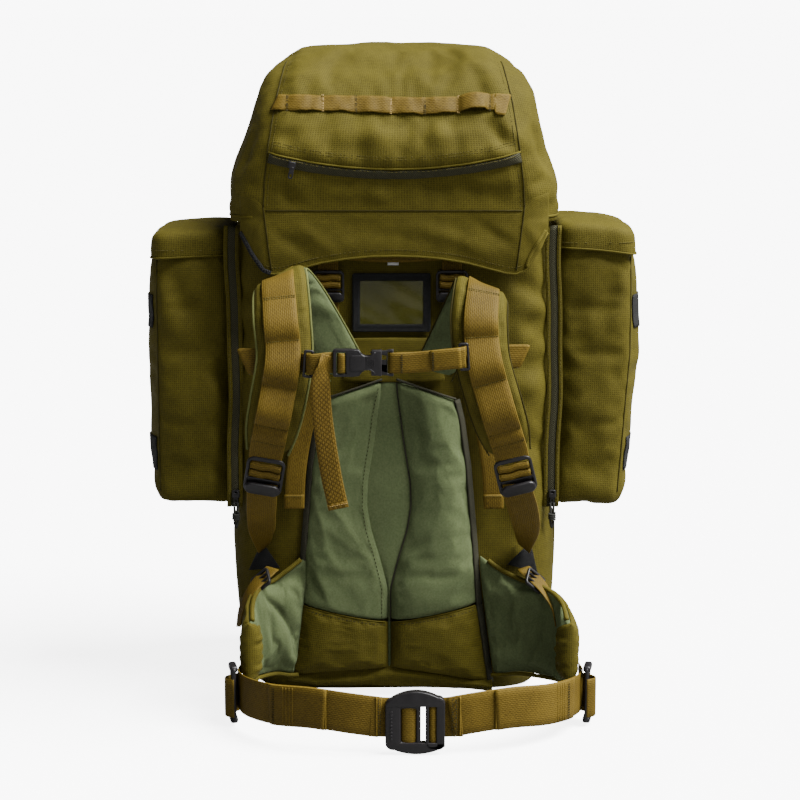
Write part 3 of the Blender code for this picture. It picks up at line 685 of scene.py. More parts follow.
def stitches(name, path, normals, mat, length=0.0034, gap=0.0016, radius=0.00042):
    """A row of short thread beads along a line, whose normals are as in strap."""
    line = np.asarray(path, float)
    total = np.linalg.norm(np.diff(line, axis=0), axis=1).sum()
    count = max(2, int(total / (length + gap)))
    normals = np.broadcast_to(np.asarray(normals, float), line.shape)
    both = resample(np.column_stack([line, normals]), count * 2 + 1)
    bm = bmesh.new()
    for k in range(count):
        a, b = both[2 * k, :3], both[2 * k + 1, :3]
        n = both[2 * k, 3:] / np.linalg.norm(both[2 * k, 3:])
        t = (b - a) / max(np.linalg.norm(b - a), 1e-9)
        a, b = (a + b) / 2 - t * length / 2, (a + b) / 2 + t * length / 2
        side = np.cross(t, n) * radius
        up = n * radius
        ends = [a - up * 0.6, b - up * 0.6]
        middle = [[bm.verts.new(a + (b - a) * f + side * c + up * s * 1.3)
                   for c, s in ((1, 0), (0.5, 0.8), (-0.5, 0.8), (-1, 0))] for f in (0.15, 0.85)]
        tips = [bm.verts.new(e) for e in ends]
        for j in range(3):
            bm.faces.new((middle[0][j], middle[1][j], middle[1][j + 1], middle[0][j + 1]))
            bm.faces.new((middle[0][j + 1], tips[0], middle[0][j]))
            bm.faces.new((middle[1][j], tips[1], middle[1][j + 1]))
        bm.faces.new((middle[0][3], middle[1][3], middle[1][0], middle[0][0]))
        bm.faces.new((middle[0][0], tips[0], middle[0][3]))
        bm.faces.new((middle[1][3], tips[1], middle[1][0]))
    bmesh.ops.recalc_face_normals(bm, faces=bm.faces)
    mesh = bpy.data.meshes.new(name)
    bm.to_mesh(mesh)
    bm.free()
    return add(name, mesh, mat)


def rounded(x0, x1, z0, z1, r, steps=5):
    """A rounded rectangle's outline."""
    out = []
    for cx, cz, start in ((x1 - r, z1 - r, 0), (x0 + r, z1 - r, 90), (x0 + r, z0 + r, 180),
                          (x1 - r, z0 + r, 270)):
        for k in range(steps + 1):
            a = math.radians(start + 90 * k / steps)
            out.append((cx + r * math.cos(a), cz + r * math.sin(a)))
    return out


def plate(width, height, r, steps=5):
    """A rounded rectangle round the origin, from its half width and half height."""
    return rounded(-width, width, -height, height, r, steps)


def moulding(name, outlines, depth, bevel, mat=PLASTIC):
    """A flat moulding in its own XZ plane: the first outline, with the others cut out of it."""
    curve = bpy.data.curves.new(name, "CURVE")
    curve.dimensions = "2D"
    curve.fill_mode = "BOTH"
    curve.extrude = depth / 2 - bevel
    curve.bevel_depth = bevel
    curve.bevel_resolution = 2
    curve.offset = -bevel
    for outline in outlines:
        spline = curve.splines.new("POLY")
        spline.points.add(len(outline) - 1)
        for point, (x, z) in zip(spline.points, outline):
            point.co = (x, z, 0, 1)
        spline.use_cyclic_u = True
    helper = bpy.data.objects.new(name + "_curve", curve)
    bpy.context.scene.collection.objects.link(helper)
    mesh = bpy.data.meshes.new_from_object(helper.evaluated_get(bpy.context.evaluated_depsgraph_get()))
    bpy.data.objects.remove(helper)
    bm = bmesh.new()
    bm.from_mesh(mesh)
    bmesh.ops.remove_doubles(bm, verts=bm.verts, dist=2e-5)
    bmesh.ops.rotate(bm, verts=bm.verts, matrix=Matrix.Rotation(math.radians(90), 3, "X"))
    bmesh.ops.recalc_face_normals(bm, faces=bm.faces)
    bm.to_mesh(mesh)
    bm.free()
    mesh.shade_smooth()
    mesh.set_sharp_from_angle(angle=math.radians(50))
    mesh.name = name
    return add(name, mesh, mat)


def mould(name, outlines, depth, bevel, at, body, *nodes, mat=PLASTIC, **turns):
    """Make a moulding, put it in its place and let it ride on a body."""
    return put(place(moulding(name, outlines, depth, bevel, mat), at, **turns), body, *nodes)


def place(obj, location, turn_y=0.0, turn_z=0.0, turn_x=0.0):
    """Move a piece from its own axes to its place, turned about X, then Y, then Z."""
    matrix = Matrix.Translation(Vector(location))
    for angle, axis in ((turn_z, "Z"), (turn_y, "Y"), (turn_x, "X")):
        matrix = matrix @ Matrix.Rotation(math.radians(angle), 4, axis)
    obj.data.transform(matrix)
    return obj


def seam(name, skin, line, body, pitch):
    """Stitches on a skin's harness side along a line of x and z."""
    hits = [skin.back(x, z, 0.0002) for x, z in resample(catmull(line, 6), 40)]
    sewn = [hit for hit in hits if hit[0] is not None]
    put(stitches(name, *zip(*sewn), THREAD, length=pitch * 0.7, gap=pitch * 0.3), body)


def open_end(obj, index):
    """Leave out one of the two end caps."""
    bm = bmesh.new()
    bm.from_mesh(obj.data)
    bm.faces.ensure_lookup_table()
    bmesh.ops.delete(bm, geom=[bm.faces[index]], context="FACES_ONLY")
    bm.to_mesh(obj.data)
    bm.free()
    return obj


# ---------------------------------------------------------------- the bag
BAG_LEVELS = (
    (0.003, -0.168, 0.168, -0.012, 0.228, 0.045), (0.012, -0.183, 0.183, -0.022, 0.246, 0.048),
    (0.050, -0.192, 0.192, -0.029, 0.257, 0.050), (0.170, -0.199, 0.199, -0.0285, 0.265, 0.052),
    (0.250, -0.200, 0.200, -0.0285, 0.265, 0.052), (0.450, -0.200, 0.200, -0.0285, 0.262, 0.052),
    (0.600, -0.199, 0.199, -0.0285, 0.257, 0.050), (0.645, -0.196, 0.196, -0.027, 0.250, 0.050),
    (0.662, -0.175, 0.175, -0.012, 0.232, 0.055), (0.695, -0.130, 0.130, 0.015, 0.210, 0.045),
)
BAG_CREASES = (
    ((0.146, -0.028, 0.540), (0.196, -0.028, 0.510), 0.0095, -0.0065),
    ((0.150, -0.028, 0.520), (0.196, -0.028, 0.492), 0.0085, 0.0045),
    ((0.150, -0.028, 0.495), (0.196, -0.028, 0.462), 0.0095, -0.0065),
    ((0.148, -0.028, 0.445), (0.196, -0.028, 0.420), 0.0100, -0.0060),
    ((0.150, -0.028, 0.412), (0.196, -0.028, 0.392), 0.0090, 0.0045),
    ((0.140, -0.028, 0.350), (0.194, -0.028, 0.310), 0.0100, -0.0060),
    ((0.140, -0.028, 0.260), (0.190, -0.028, 0.215), 0.0100, 0.0050),
    ((0.150, -0.028, 0.140), (0.190, -0.028, 0.090), 0.0120, -0.0055),
)


def make_bag():
    """The bag's cloth: a tall soft box, open at its top, that sags between its seams."""
    grid = shell_grid(BAG_LEVELS, 74, 132, cap_low=5)
    x, y, z = grid[..., 0], grid[..., 1], grid[..., 2]
    pins = np.zeros(x.shape)
    pins[:7] = 1
    pins[z > 0.60] = 1
    pins[(np.abs(x) < 0.150) & (y < 0)] = 1
    pins[(np.abs(x) > 0.15) & (y > 0.0) & (y < 0.21) & (z > 0.24)] = 1
    for height in (0.105, 0.36):
        pins[(np.abs(z - height) < 0.006) & (y > 0.2)] = 1
    pins[(np.abs(np.abs(x) - 0.10) < 0.006) & (y > 0.2)] = 1
    grid = settle(grid, pins, pressure=2.5, shrink=-0.02, cap=0.009, frames=14)
    loose = 1 - pins * 0.85
    grid = crumple(grid, 0.0045, 11, 1, stretch=(1, 1, 0.55), mask=loose)
    for side in (1, -1):
        grid = creases(grid, BAG_CREASES, side, front=0.06)
    bag = surface("bag_cloth", grid, CLOTH, closed=True, caps=True)
    open_end(bag, -1)
    put(solid(subdivide(bag), 0.0016, -1), "pack", "main_bag")
    return bag


# ---------------------------------------------------------------- the lid
LID_LEVELS = (
    (0.6100, -0.2065, 0.2065, -0.0490, 0.270, 0.055), (0.632, -0.204, 0.204, -0.052, 0.272, 0.055),
    (0.655, -0.199, 0.199, -0.056, 0.272, 0.055), (0.690, -0.187, 0.187, -0.060, 0.270, 0.055),
    (0.730, -0.176, 0.178, -0.050, 0.266, 0.052), (0.770, -0.163, 0.168, -0.026, 0.255, 0.050),
    (0.800, -0.148, 0.152, 0.002, 0.235, 0.050), (0.815, -0.128, 0.132, 0.028, 0.205, 0.048),
    (0.820, -0.100, 0.104, 0.056, 0.178, 0.040),
)


def lid_seam_x(z):
    """How far out the lid's harness panel reaches, where it is sewn to the side panels."""
    return np.interp(z, (0.60, 0.66, 0.70, 0.76, 0.80, 0.83), (0.163, 0.160, 0.155, 0.146, 0.137, 0.125))


LID_ZIP_Z = 0.671
LID_ZIP_RADIUS = 0.607


def zip_arc(x):
    """Height of the lid's zip at x."""
    return LID_ZIP_Z + LID_ZIP_RADIUS - math.sqrt(LID_ZIP_RADIUS ** 2 - x * x)


def chain_height(x):
    """Height of the lid's row of webbing loops at x."""
    return 0.7595 - 0.0062 * math.cos(x * 9) - 0.0010 * math.sin(x * 30)


LID_CREASES = (
    ((-0.140, -0.060, 0.737), (0.120, -0.060, 0.739), 0.0100, -0.0060),
    ((0.112, -0.056, 0.742), (0.152, -0.058, 0.696), 0.0085, -0.0083),
    ((0.135, -0.056, 0.735), (0.168, -0.050, 0.700), 0.0080, 0.0060),
    ((-0.100, -0.058, 0.738), (-0.128, -0.058, 0.702), 0.0100, 0.0054),
    ((-0.030, -0.058, 0.736), (-0.012, -0.058, 0.704), 0.0120, 0.0048),
    ((0.045, -0.058, 0.736), (0.062, -0.058, 0.706), 0.0120, 0.0060),
    ((-0.150, -0.058, 0.716), (-0.085, -0.058, 0.724), 0.0080, -0.0048),
    ((-0.110, -0.054, 0.662), (0.010, -0.054, 0.642), 0.0110, 0.0045),
    ((0.040, -0.054, 0.660), (0.152, -0.054, 0.640), 0.0100, -0.0045),
    ((-0.155, -0.050, 0.655), (-0.110, -0.054, 0.632), 0.0090, -0.0045),
    ((0.176, -0.030, 0.735), (0.190, -0.020, 0.660), 0.0100, -0.0075),
    ((0.190, 0.010, 0.740), (0.204, 0.020, 0.640), 0.0120, 0.0067),
    ((-0.178, -0.030, 0.730), (-0.192, -0.020, 0.650), 0.0100, -0.0075),
    ((-0.186, 0.020, 0.740), (-0.203, 0.030, 0.640), 0.0120, 0.0067),
    ((-0.090, -0.010, 0.800), (0.080, 0.010, 0.812), 0.0160, -0.0045),
)


def make_lid():
    """The lid's cloth, with its seams, zip, storm flap and row of loops."""
    grid = shell_grid(LID_LEVELS, 46, 148, cap_high=9)
    x, y, z = grid[..., 0], grid[..., 1], grid[..., 2]
    pins = np.zeros(x.shape)
    pins[:2] = 1
    edge = lid_seam_x(z)
    pins[(np.abs(np.abs(x) - edge) < 0.0065) & (y < 0.06)] = 1
    pins[(np.abs(z - LID_ZIP_Z - x * x * 0.8) < 0.004) & (y < 0) & (np.abs(x) < edge)] = 1
    pins[(np.abs(z - 0.757) < 0.005) & (y < 0.02) & (np.abs(x) < edge)] = 0.6
    pins[(z < 0.634) & (y < -0.02)] = 1
    pins[(np.abs(np.abs(x) - 0.145) < 0.006) & (y > 0.19)] = 1
    grid = settle(grid, pins, pressure=4.5, shrink=-0.03, cap=0.0045, frames=16, seed=1)
    # The panel below the zip falls away, and the storm flap stands over it.
    x, y, z = grid[..., 0], grid[..., 1], grid[..., 2]
    harness = (y < 0.0) & (np.abs(x) < edge)
    below = LID_ZIP_Z + x ** 2 * 0.8 - z
    sink = np.clip((below + 0.004) / 0.008, 0, 1) * np.clip((z - 0.625) / 0.025, 0, 1)
    flap = np.exp(-((below + 0.014) / 0.010) ** 2)
    grid[..., 1] += np.where(harness, 0.0050 * sink - 0.0040 * flap, 0)
    grid = crumple(grid, 0.0036, 13, 2, stretch=(1, 1, 1.4), mask=1 - 0.7 * np.minimum(pins, 1))
    grid = creases(grid, LID_CREASES)
    lid = surface("lid_cloth", grid, CLOTH, closed=True, caps=True)
    open_end(lid, -2)
    put(solid(subdivide(lid), 0.0014, -1), "lid", "lid_shell")
    skin = Skin(lid)

    for label, side in SIDES:
        heights = np.linspace(0.630, 0.806, 30)
        # Each panel seam is a thin dark tube: its dark colour is painted shade of the seam's groove.
        path = [skin.back(lid_seam_x(h) * side, h, 0.0003)[0] for h in heights]
        put(tube("lid_piping_" + label, path, 0.0009, SEAM_SHADE, per=2), "lid")
        inner = [(lid_seam_x(h) * side - 0.005 * side, h) for h in heights]
        seam("lid_seam_" + label, skin, inner, "lid", 0.0032)
        # The side panel's own seam, which runs up to the top, is also a dark tube of painted groove shade.
        rear = [skin.side(side, 0.118 - 0.10 * (h - 0.62), h, 0.0003)[0]
                for h in np.linspace(0.616, 0.775, 30)]
        put(tube("lid_side_seam_" + label, rear, 0.0009, SEAM_SHADE, per=2), "lid")

    on = skin.back

    def laid(name, points, mat, length=0.0030, gap=0.0016, radius=0.00042):
        put(stitches(name, *zip(*points), mat, length, gap, radius), "lid")

    # The zip runs in a shallow arc, under the lip of the storm flap.
    xs = np.linspace(-0.1535, 0.1555, 44)
    hits = [on(x, zip_arc(x), 0.0016) for x in xs]
    put(strap("lid_zip_tape", *zip(*hits), 0.0125, ZIP, 0.0018, per=1, bow=0.0008), "lid", "lid_zip")
    lip = [on(x, zip_arc(x) + 0.0068, 0.0008) for x in xs]
    put(tube("lid_zip_lip", [h for h, _ in lip], 0.0013, CLOTH, per=1, sides=10), "lid")
    laid("lid_zip_stitches_0", [on(x, zip_arc(x) + 0.0046, 0.0032) for x in xs[1:-1]], THREAD)
    laid("lid_zip_stitches_1", [on(x, zip_arc(x) + 0.0180, 0.0002) for x in xs[1:-1]], THREAD, 0.0026,
         0.0014, 0.0003)
    laid("lid_zip_stitches_2", [on(x, zip_arc(x) + 0.0212, 0.0002) for x in xs[1:-1]], THREAD, 0.0026,
         0.0014, 0.0003)
    slider = moulding("lid_zip_runner", [plate(0.0045, 0.004, 0.0018)], 0.0040, 0.0009)
    _, top, middle = box("lid_zip_slider")
    place(slider, (middle.x, middle.y, top.z - 0.003), turn_y=12)
    put(slider, "lid_slider", "lid_zip_slider")
    mould("lid_zip_tab", [plate(0.0030, 0.0075, 0.0025), rounded(-0.0014, 0.0014, -0.0055, -0.0015, 0.0013)],
          0.0018, 0.0005, (middle.x - 0.001, middle.y - 0.0015, top.z - 0.0125), "lid_slider", turn_y=12)

    # Daisy chain: webbing tacked down in cells that stand off the cloth between the tacks.
    tacks = (-0.1470, -0.1310, -0.0880, -0.0470, -0.0040, 0.0380, 0.0800, 0.1185, 0.1285)
    xs = np.linspace(tacks[0], tacks[-1], 110)
    hits = [on(x, chain_height(x), 0.0014) for x in xs]
    lifts = (0.0010, 0.0024, 0.0020, 0.0024, 0.0022, 0.0026, 0.0085, 0.0010)

    def puff(along):
        at_x = np.interp(along, running(np.array([h for h, _ in hits])[:, None], 0), xs)
        lift = np.zeros(len(along))
        for a, b, high in zip(tacks, tacks[1:], lifts):
            inside = (at_x >= a) & (at_x <= b)
            lift[inside] = high * np.maximum(0, np.sin(math.pi * (at_x[inside] - a) / (b - a))) ** 0.7
        return lift

    put(strap("daisy_chain", *zip(*hits), 0.0235, WEBBING, per=1, puff=puff), "lid", "lid_daisy_chain")
    # Its right end turns down into the seam as a triangle.
    rows = []
    for t in np.linspace(0, 1, 5):
        rows.append([on(0.1240 + (0.0205 - 0.0080 * w) * t,
                        chain_height(0.1285) + 0.0100 - 0.0020 * t - 0.0240 * w, 0.0022)[0]
                     for w in np.linspace(0, 1, 6)])
    put(solid(subdivide(surface("daisy_tuck", rows, WEBBING)), 0.0016, 0), "lid")
    for k, x in enumerate(tacks[1:-1]):
        column = [on(x, chain_height(x) + dz, 0.0028) for dz in np.linspace(-0.0105, 0.0105, 12)]
        mat = THREAD_DARK if k % 2 == 0 else THREAD_LIGHT
        for end, d in (("a", -0.0008), ("b", 0.0008)):
            put(stitches("chain_tack_%d_%s" % (k, end), [h + Vector((d, 0, 0)) for h, _ in column],
                         [n for _, n in column], mat, 0.0018, 0.0005, 0.00042), "lid")

    # A hem closes the lid's lower edge, except behind the flap.
    rim = grid[1]
    behind = (rim[:, 1] < -0.030) & (np.abs(rim[:, 0]) < 0.178)
    first, last = np.nonzero(behind)[0][[0, -1]]
    put(tube("lid_hem", np.vstack([rim[last:], rim[:first + 1]]) + [0, 0, -0.0005], 0.0018, CLOTH, per=1),
        "lid")
    return skin


def make_lid_inside():
    """The lining under the lid."""
    low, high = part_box("lid_lining")
    edge = (low.x, high.x, low.y, high.y, 0.05)
    floor = shell_grid(((high.z, *edge), (high.z - 0.0002, *edge)), 2, 96, cap_low=8)
    put(solid(surface("lid_lining_cloth", crumple(floor, 0.0006, 16, 3), CLOTH_IN, closed=True), 0.0012, 0),
        "lid", "lid_lining")


# ---------------------------------------------------------------- the flap under the lid
FLAP_EDGE = 0.1915
FLAP_TOP = 0.6265


def curtain_low(x):
    """The flap's lower edge: an arch over the carry handle, rising again at the corners."""
    return np.interp(abs(x), (0, 0.03, 0.06, 0.09, 0.115, 0.14, 0.152, 0.162, 0.176, 0.1915),
                     (0.5685, 0.5678, 0.5650, 0.5600, 0.5535, 0.5470, 0.5460, 0.5500, 0.5690, 0.5960))


def curtain_high(x):
    """Its upper edge: the seam across the lid, lying further up over the side panels."""
    return np.interp(abs(x), (0, 0.156, 0.172, 0.1915), (FLAP_TOP, FLAP_TOP, 0.6440, 0.6480))


def make_curtain(skin):
    """The flap under the lid is sewn to both: it hangs from the lid."""
    columns, rows = 130, 26
    xs = np.linspace(-FLAP_EDGE, FLAP_EDGE, columns)
    grid = np.zeros((rows, columns, 3))
    for j, x in enumerate(xs):
        over = max(0.0, abs(x) - 0.1515)
        plain = -0.0500 + 0.055 - math.sqrt(max(1e-9, 0.055 ** 2 - over ** 2))
        low, high = curtain_low(x), curtain_high(x)
        for i in range(rows):
            t = i / (rows - 1)
            z = low + (high - low) * t
            y = plain - 0.0014 * math.sin(math.pi * min(1.0, t * 1.1))
            if z > 0.6105:
                # Over the lid it lies on the cloth, and its upper edge sinks in.
                hit = skin.back(x, z, 0.0014 - 0.0022 * max(0.0, (z - high + 0.014) / 0.014))[0]
                lift = min(1.0, (z - 0.6105) / 0.005)
                y = y * (1 - lift) + (hit.y if hit is not None else y) * lift
            grid[i, j] = (x, y, z)
    fade = np.sin(np.linspace(0.3, 3.1, rows))[:, None].repeat(columns, axis=1) ** 1.5
    grid = crumple(grid, 0.0026, 15, 4, closed=False, mask=fade)
    grid = creases(grid, FLAP_CREASES, closed=False)
    grid[-1, :, 1] += 0.0010
    flap = surface("flap_cloth", grid, CLOTH)
    solid(subdivide(flap), 0.0012, 0)
    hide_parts("lid_curtain")
    bend_at_lid(flap)
    # The seam along the flap's top is a thin dark tube: its colour is painted groove shade.
    top = [skin.back(x, FLAP_TOP - 0.0010, 0.0004)[0] for x in np.linspace(-0.1585, 0.1585, 70)]
    piping = tube("flap_seam", top, 0.0009, SEAM_SHADE, per=1)
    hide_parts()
    bend_at_lid(piping)
    hem = grid[0] + [0, -0.0004, 0.0006]
    put(tube("flap_hem", hem, 0.0015, CLOTH, per=1, sides=10), "pack")
    flap_skin = Skin(flap)
    line = [(x, curtain_low(x) + 0.0085) for x in np.linspace(-0.158, 0.158, 40)]
    seam("flap_stitches", flap_skin, line, "pack", 0.0034)

    # Side seams of the flap, going on down from the lid's panel seams, drawn as dark tubes of painted groove
    # shade.
    for label, side in SIDES:
        path = [flap_skin.back(side * (0.1520 + 0.0100 * (z - 0.552) / 0.080), z, 0.0003)[0]
                for z in np.linspace(0.552, 0.632, 18)]
        line = tube("flap_side_seam_" + label, path, 0.0009, SEAM_SHADE, per=2)
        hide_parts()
        bend_at_lid(line)
    # The left corner is edged with elastic, sewn in close loops.
    edge = [j for j, x in enumerate(xs) if x < -0.150]
    path = np.array([grid[0, j] for j in edge])
    put(strap("corner_elastic", path + [0, -0.0022, 0.0016], (-0.2, -1, 0), 0.0055, BLACK, 0.0016, per=1),
        "pack")
    fine = resample(path, 34)
    for k, p in enumerate(fine[1:-1:2]):
        bead = [p + np.array((-0.0006, -0.0034, 0.0040)), p + np.array((0.0, -0.0038, 0.0014)),
                p + np.array((0.0008, -0.0034, -0.0012))]
        put(tube("elastic_loop_%d" % k, bead, 0.0005, BLACK, per=2, sides=5), "pack")
    # The right corner is tucked under in a fold.
    path = []
    for t in np.linspace(0, 1, 14):
        path.append(flap_skin.back(0.1640 + 0.0240 * t ** 1.3, 0.5560 + 0.0440 * t, 0.0006)[0])
    put(tube("corner_fold", [p for p in path if p is not None], 0.0024, CLOTH, per=2, sides=10), "pack")


# ---------------------------------------------------------------- side pockets
POCKET_LEVELS = (
    (0.244, 0.208, 0.298, 0.018, 0.192, 0.016), (0.250, 0.203, 0.304, 0.011, 0.200, 0.016),
    (0.290, 0.2018, 0.307, 0.009, 0.203, 0.020), (0.450, 0.2015, 0.309, 0.008, 0.205, 0.020),
    (0.545, 0.2018, 0.306, 0.009, 0.203, 0.020), (0.565, 0.2100, 0.304, 0.0105, 0.201, 0.020),
    (0.585, 0.2100, 0.303, 0.011, 0.200, 0.020),
)
POCKET_LID_LEVELS = (
    (0.5735, 0.2075, 0.3090, 0.0050, 0.2060, 0.022), (0.585, 0.2075, 0.3088, 0.0050, 0.2060, 0.022),
    (0.598, 0.2080, 0.3075, 0.0062, 0.2048, 0.022), (0.6045, 0.214, 0.302, 0.012, 0.199, 0.020),
    (0.6065, 0.224, 0.292, 0.022, 0.189, 0.018),
)
RIGHT_TAPER = ((0.24, 0.30, 0.36, 0.44, 0.60), (0.0150, 0.0100, 0.0060, 0.0, 0.0))


def sided(levels, side):
    """The same levels for the right (1) or the left (-1) side."""
    if side > 0:
        return levels
    return tuple((z, -x1, -x0, y0, y1, r) for z, x0, x1, y0, y1, r in levels)


def narrowing(z, side):
    """How much narrower the right pocket is at height z."""
    return np.interp(z, *RIGHT_TAPER) if side > 0 else 0.0


def pocket_form(grid, side, is_lid=False):
    """The pockets aren't quite alike: the left one's lid lies lower, and the right one narrows downwards."""
    grid = grid.copy()
    out = np.clip((np.abs(grid[..., 0]) - 0.205) / 0.10, 0, 1)
    if is_lid:
        grid[..., 2] -= (0.0085 + 0.0050 * out) if side < 0 else 0.0085 * out ** 2
    elif side > 0:
        grid[..., 0] -= out * np.interp(grid[..., 2], *RIGHT_TAPER)
    return grid


POCKET_CREASES = (
    ((0.300, 0.006, 0.560), (0.250, 0.006, 0.480), 0.0120, -0.0045),
    ((0.296, 0.006, 0.545), (0.280, 0.006, 0.470), 0.0100, 0.0040),
    ((0.215, 0.006, 0.400), (0.290, 0.006, 0.330), 0.0160, 0.0035),
    ((0.220, 0.006, 0.300), (0.295, 0.006, 0.275), 0.0120, -0.0035),
    ((0.230, 0.006, 0.520), (0.240, 0.006, 0.430), 0.0140, -0.0030),
)
POCKET_SIDE_CREASES = (
    ((0.306, 0.060, 0.480), (0.306, 0.150, 0.400), 0.0180, -0.0050),
    ((0.306, 0.050, 0.330), (0.306, 0.160, 0.300), 0.0140, 0.0045),
)


def make_pockets():
    """The side pockets, their lids, seams and tabs."""
    for label, side in SIDES:
        grid = shell_grid(sided(POCKET_LEVELS, side), 44, 84, cap_low=5)
        # The base sags below its seam.
        grid[:5, :, 2] -= 0.0090 * (1 - np.linspace(0, 1, 6)[:5, None] ** 2)
        x, y, z = np.abs(grid[..., 0]), grid[..., 1], grid[..., 2]
        pins = np.zeros(x.shape)
        pins[:5] = 1
        pins[z > 0.566] = 1
        pins[x < 0.2025] = 1
        pins[(np.abs(y - 0.011) < 0.006) & (np.abs(x - 0.305) < 0.007)] = 0.9
        grid = settle(grid, pins, pressure=4.0, shrink=-0.025, cap=0.0065, frames=14, seed=2 + side)
        grid = crumple(grid, 0.0036, 12, 5 + side, stretch=(1, 1, 0.6), mask=1 - 0.75 * np.minimum(pins, 1))
        grid = creases(grid, POCKET_CREASES, side, front=0.06)
        grid = pocket_form(creases(grid, POCKET_SIDE_CREASES, side), side)
        pocket = open_end(surface("pocket_cloth_" + label, grid, CLOTH, closed=True, caps=True), -1)
        put(solid(subdivide(pocket), 0.0014, -1), "pack", "pocket_" + label)
        skin = Skin(pocket)

        top = shell_grid(sided(POCKET_LID_LEVELS, side), 14, 84, cap_high=4)
        top = pocket_form(crumple(top, 0.0022, 14, 7 + side), side, True)
        cover = open_end(surface("pocket_cover_" + label, top, CLOTH, closed=True, caps=True), -2)
        put(solid(subdivide(cover), 0.0014, -1), BODY[label]["lid"], "pocket_lid_" + label)
        rim = top[0]
        put(tube("pocket_cover_hem_" + label, np.vstack([rim, rim[:1]]), 0.0014, CLOTH, per=1),
            BODY[label]["lid"])
        cover_skin = Skin(cover)
        hits = [cover_skin.back(t * side, 0.5800 - (0.0095 if side < 0 else 0.0), 0.0004)
                for t in np.linspace(0.214, 0.303, 24)]
        put(stitches("pocket_cover_stitches_" + label, *zip(*hits), THREAD), BODY[label]["lid"])

        # Piping on the outer edge, dark with painted seam shade, and two short black tabs sewn into it.
        path = [skin.back((0.3010 - narrowing(h, side)) * side, h, 0.0002)[0]
                for h in np.linspace(0.258, 0.560, 40)]
        put(tube("pocket_piping_" + label, path, 0.0010, SEAM_SHADE, per=1), "pack")
        for k, (low, high) in enumerate(((0.470, 0.512), (0.285, 0.328))):
            rows = []
            for h in np.linspace(low, high, 12):
                # From the front face round the corner, then back along the side.
                middle = np.array(((0.288 - narrowing(h, side)) * side, 0.029, h))
                row = []
                for a in np.radians(np.linspace(-24, 0, 4)):
                    out = np.array((math.cos(a) * side, math.sin(a), 0))
                    row.append(skin.cast(middle + out * 0.2, -out, 0.0012)[0])
                row += [skin.side(side, y, h, 0.0012)[0] for y in np.linspace(0.033, 0.062, 6)]
                rows.append(row)
            put(solid(surface("pocket_tab_%d_%s" % (k, label), rows, BLACK, flip=side < 0), 0.0012, 0),
                "pack")


# ---------------------------------------------------------------- side zips
def make_side_zips():
    """The zips between the bag and the side pockets, with their sliders."""
    for label, _ in SIDES:
        low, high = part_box("side_zip_" + label)
        x, y = (low.x + high.x) / 2, (low.y + high.y) / 2
        zs = np.linspace(low.z - 0.003, high.z, 50)
        path = [(x + 0.0018 * math.sin(z * 19) + 0.0006 * math.sin(z * 53), y, z) for z in zs]
        put(strap("zip_tape_" + label, path, BACKWARD, 0.0118, ZIP, 0.0026, per=1, bow=0.0010), "pack",
            "side_zip_" + label)
        for k, shift in enumerate((-0.0074, 0.0074)):
            edge = [(px + shift, py - 0.0012, pz) for px, py, pz in path]
            put(strap("zip_binding_%s_%d" % (label, k), edge, BACKWARD, 0.0052, CLOTH, 0.0030, per=1), "pack")
            line = [(px + shift, py - 0.0028, pz) for px, py, pz in path]
            put(stitches("zip_stitches_%s_%d" % (label, k), line, BACKWARD, THREAD), "pack")

        _, _, mid = box("zip_slider_" + label)
        mould("zip_runner_" + label, [rounded(-0.0048, 0.0048, -0.0035, 0.0070, 0.0022),
                                      rounded(-0.0018, 0.0018, 0.0030, 0.0048, 0.0008)], 0.0046, 0.0010, mid,
              BODY[label]["zip"], "zip_slider_" + label)
        mould("zip_bail_" + label, [rounded(-0.0028, 0.0028, -0.0062, 0.0030, 0.0024),
                                    rounded(-0.0013, 0.0013, -0.0048, -0.0012, 0.0012)], 0.0018, 0.0005,
              (mid.x, mid.y - 0.0006, mid.z - 0.0042), BODY[label]["zip"])


# ---------------------------------------------------------------- back panel, lumbar pad, window
def bend_at_lid(piece):
    """Sewn to the lid on top and to the pack below; its place is baked into its mesh."""
    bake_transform(piece)


FLAP_CREASES = (
    ((-0.150, -0.050, 0.600), (-0.100, -0.050, 0.565), 0.0090, -0.0024),
    ((-0.120, -0.050, 0.608), (-0.075, -0.050, 0.575), 0.0090, 0.0022),
    ((0.035, -0.050, 0.605), (0.120, -0.050, 0.572), 0.0100, 0.0026),
    ((0.100, -0.050, 0.612), (0.150, -0.050, 0.580), 0.0080, -0.0024),
    ((-0.060, -0.050, 0.606), (0.030, -0.050, 0.590), 0.0110, -0.0018),
    ((0.165, -0.046, 0.605), (0.182, -0.040, 0.575), 0.0060, 0.0030),
)


def pad_edges(z):
    """Outer and inner edge of the padding's right half at height z, measured from its middle."""
    outer = np.interp(z, (0.02, 0.07, 0.122, 0.20, 0.30, 0.36, 0.385, 0.402),
                      (0.128, 0.121, 0.113, 0.107, 0.0985, 0.090, 0.084, 0.078))
    inner = np.interp(z, (0.02, 0.10, 0.142, 0.18, 0.22, 0.25, 0.28, 0.33, 0.38, 0.402),
                      (0.0012, 0.0012, 0.0016, 0.0110, 0.0230, 0.0275, 0.0265, 0.0185, 0.0120, 0.0095))
    return outer, inner


def pad_levels(side):
    """Heights of the padding's hem, change of cloth and top, from the inner edge (0) to the outer (1)."""
    hem = 0.029 if side < 0 else 0.018
    return (lambda t: 0.038 + (hem - 0.038) * t ** 1.4, lambda t: 0.0985 + 0.0230 * t ** 1.15,
            lambda t: 0.4110 - 0.0250 * t ** 1.1)


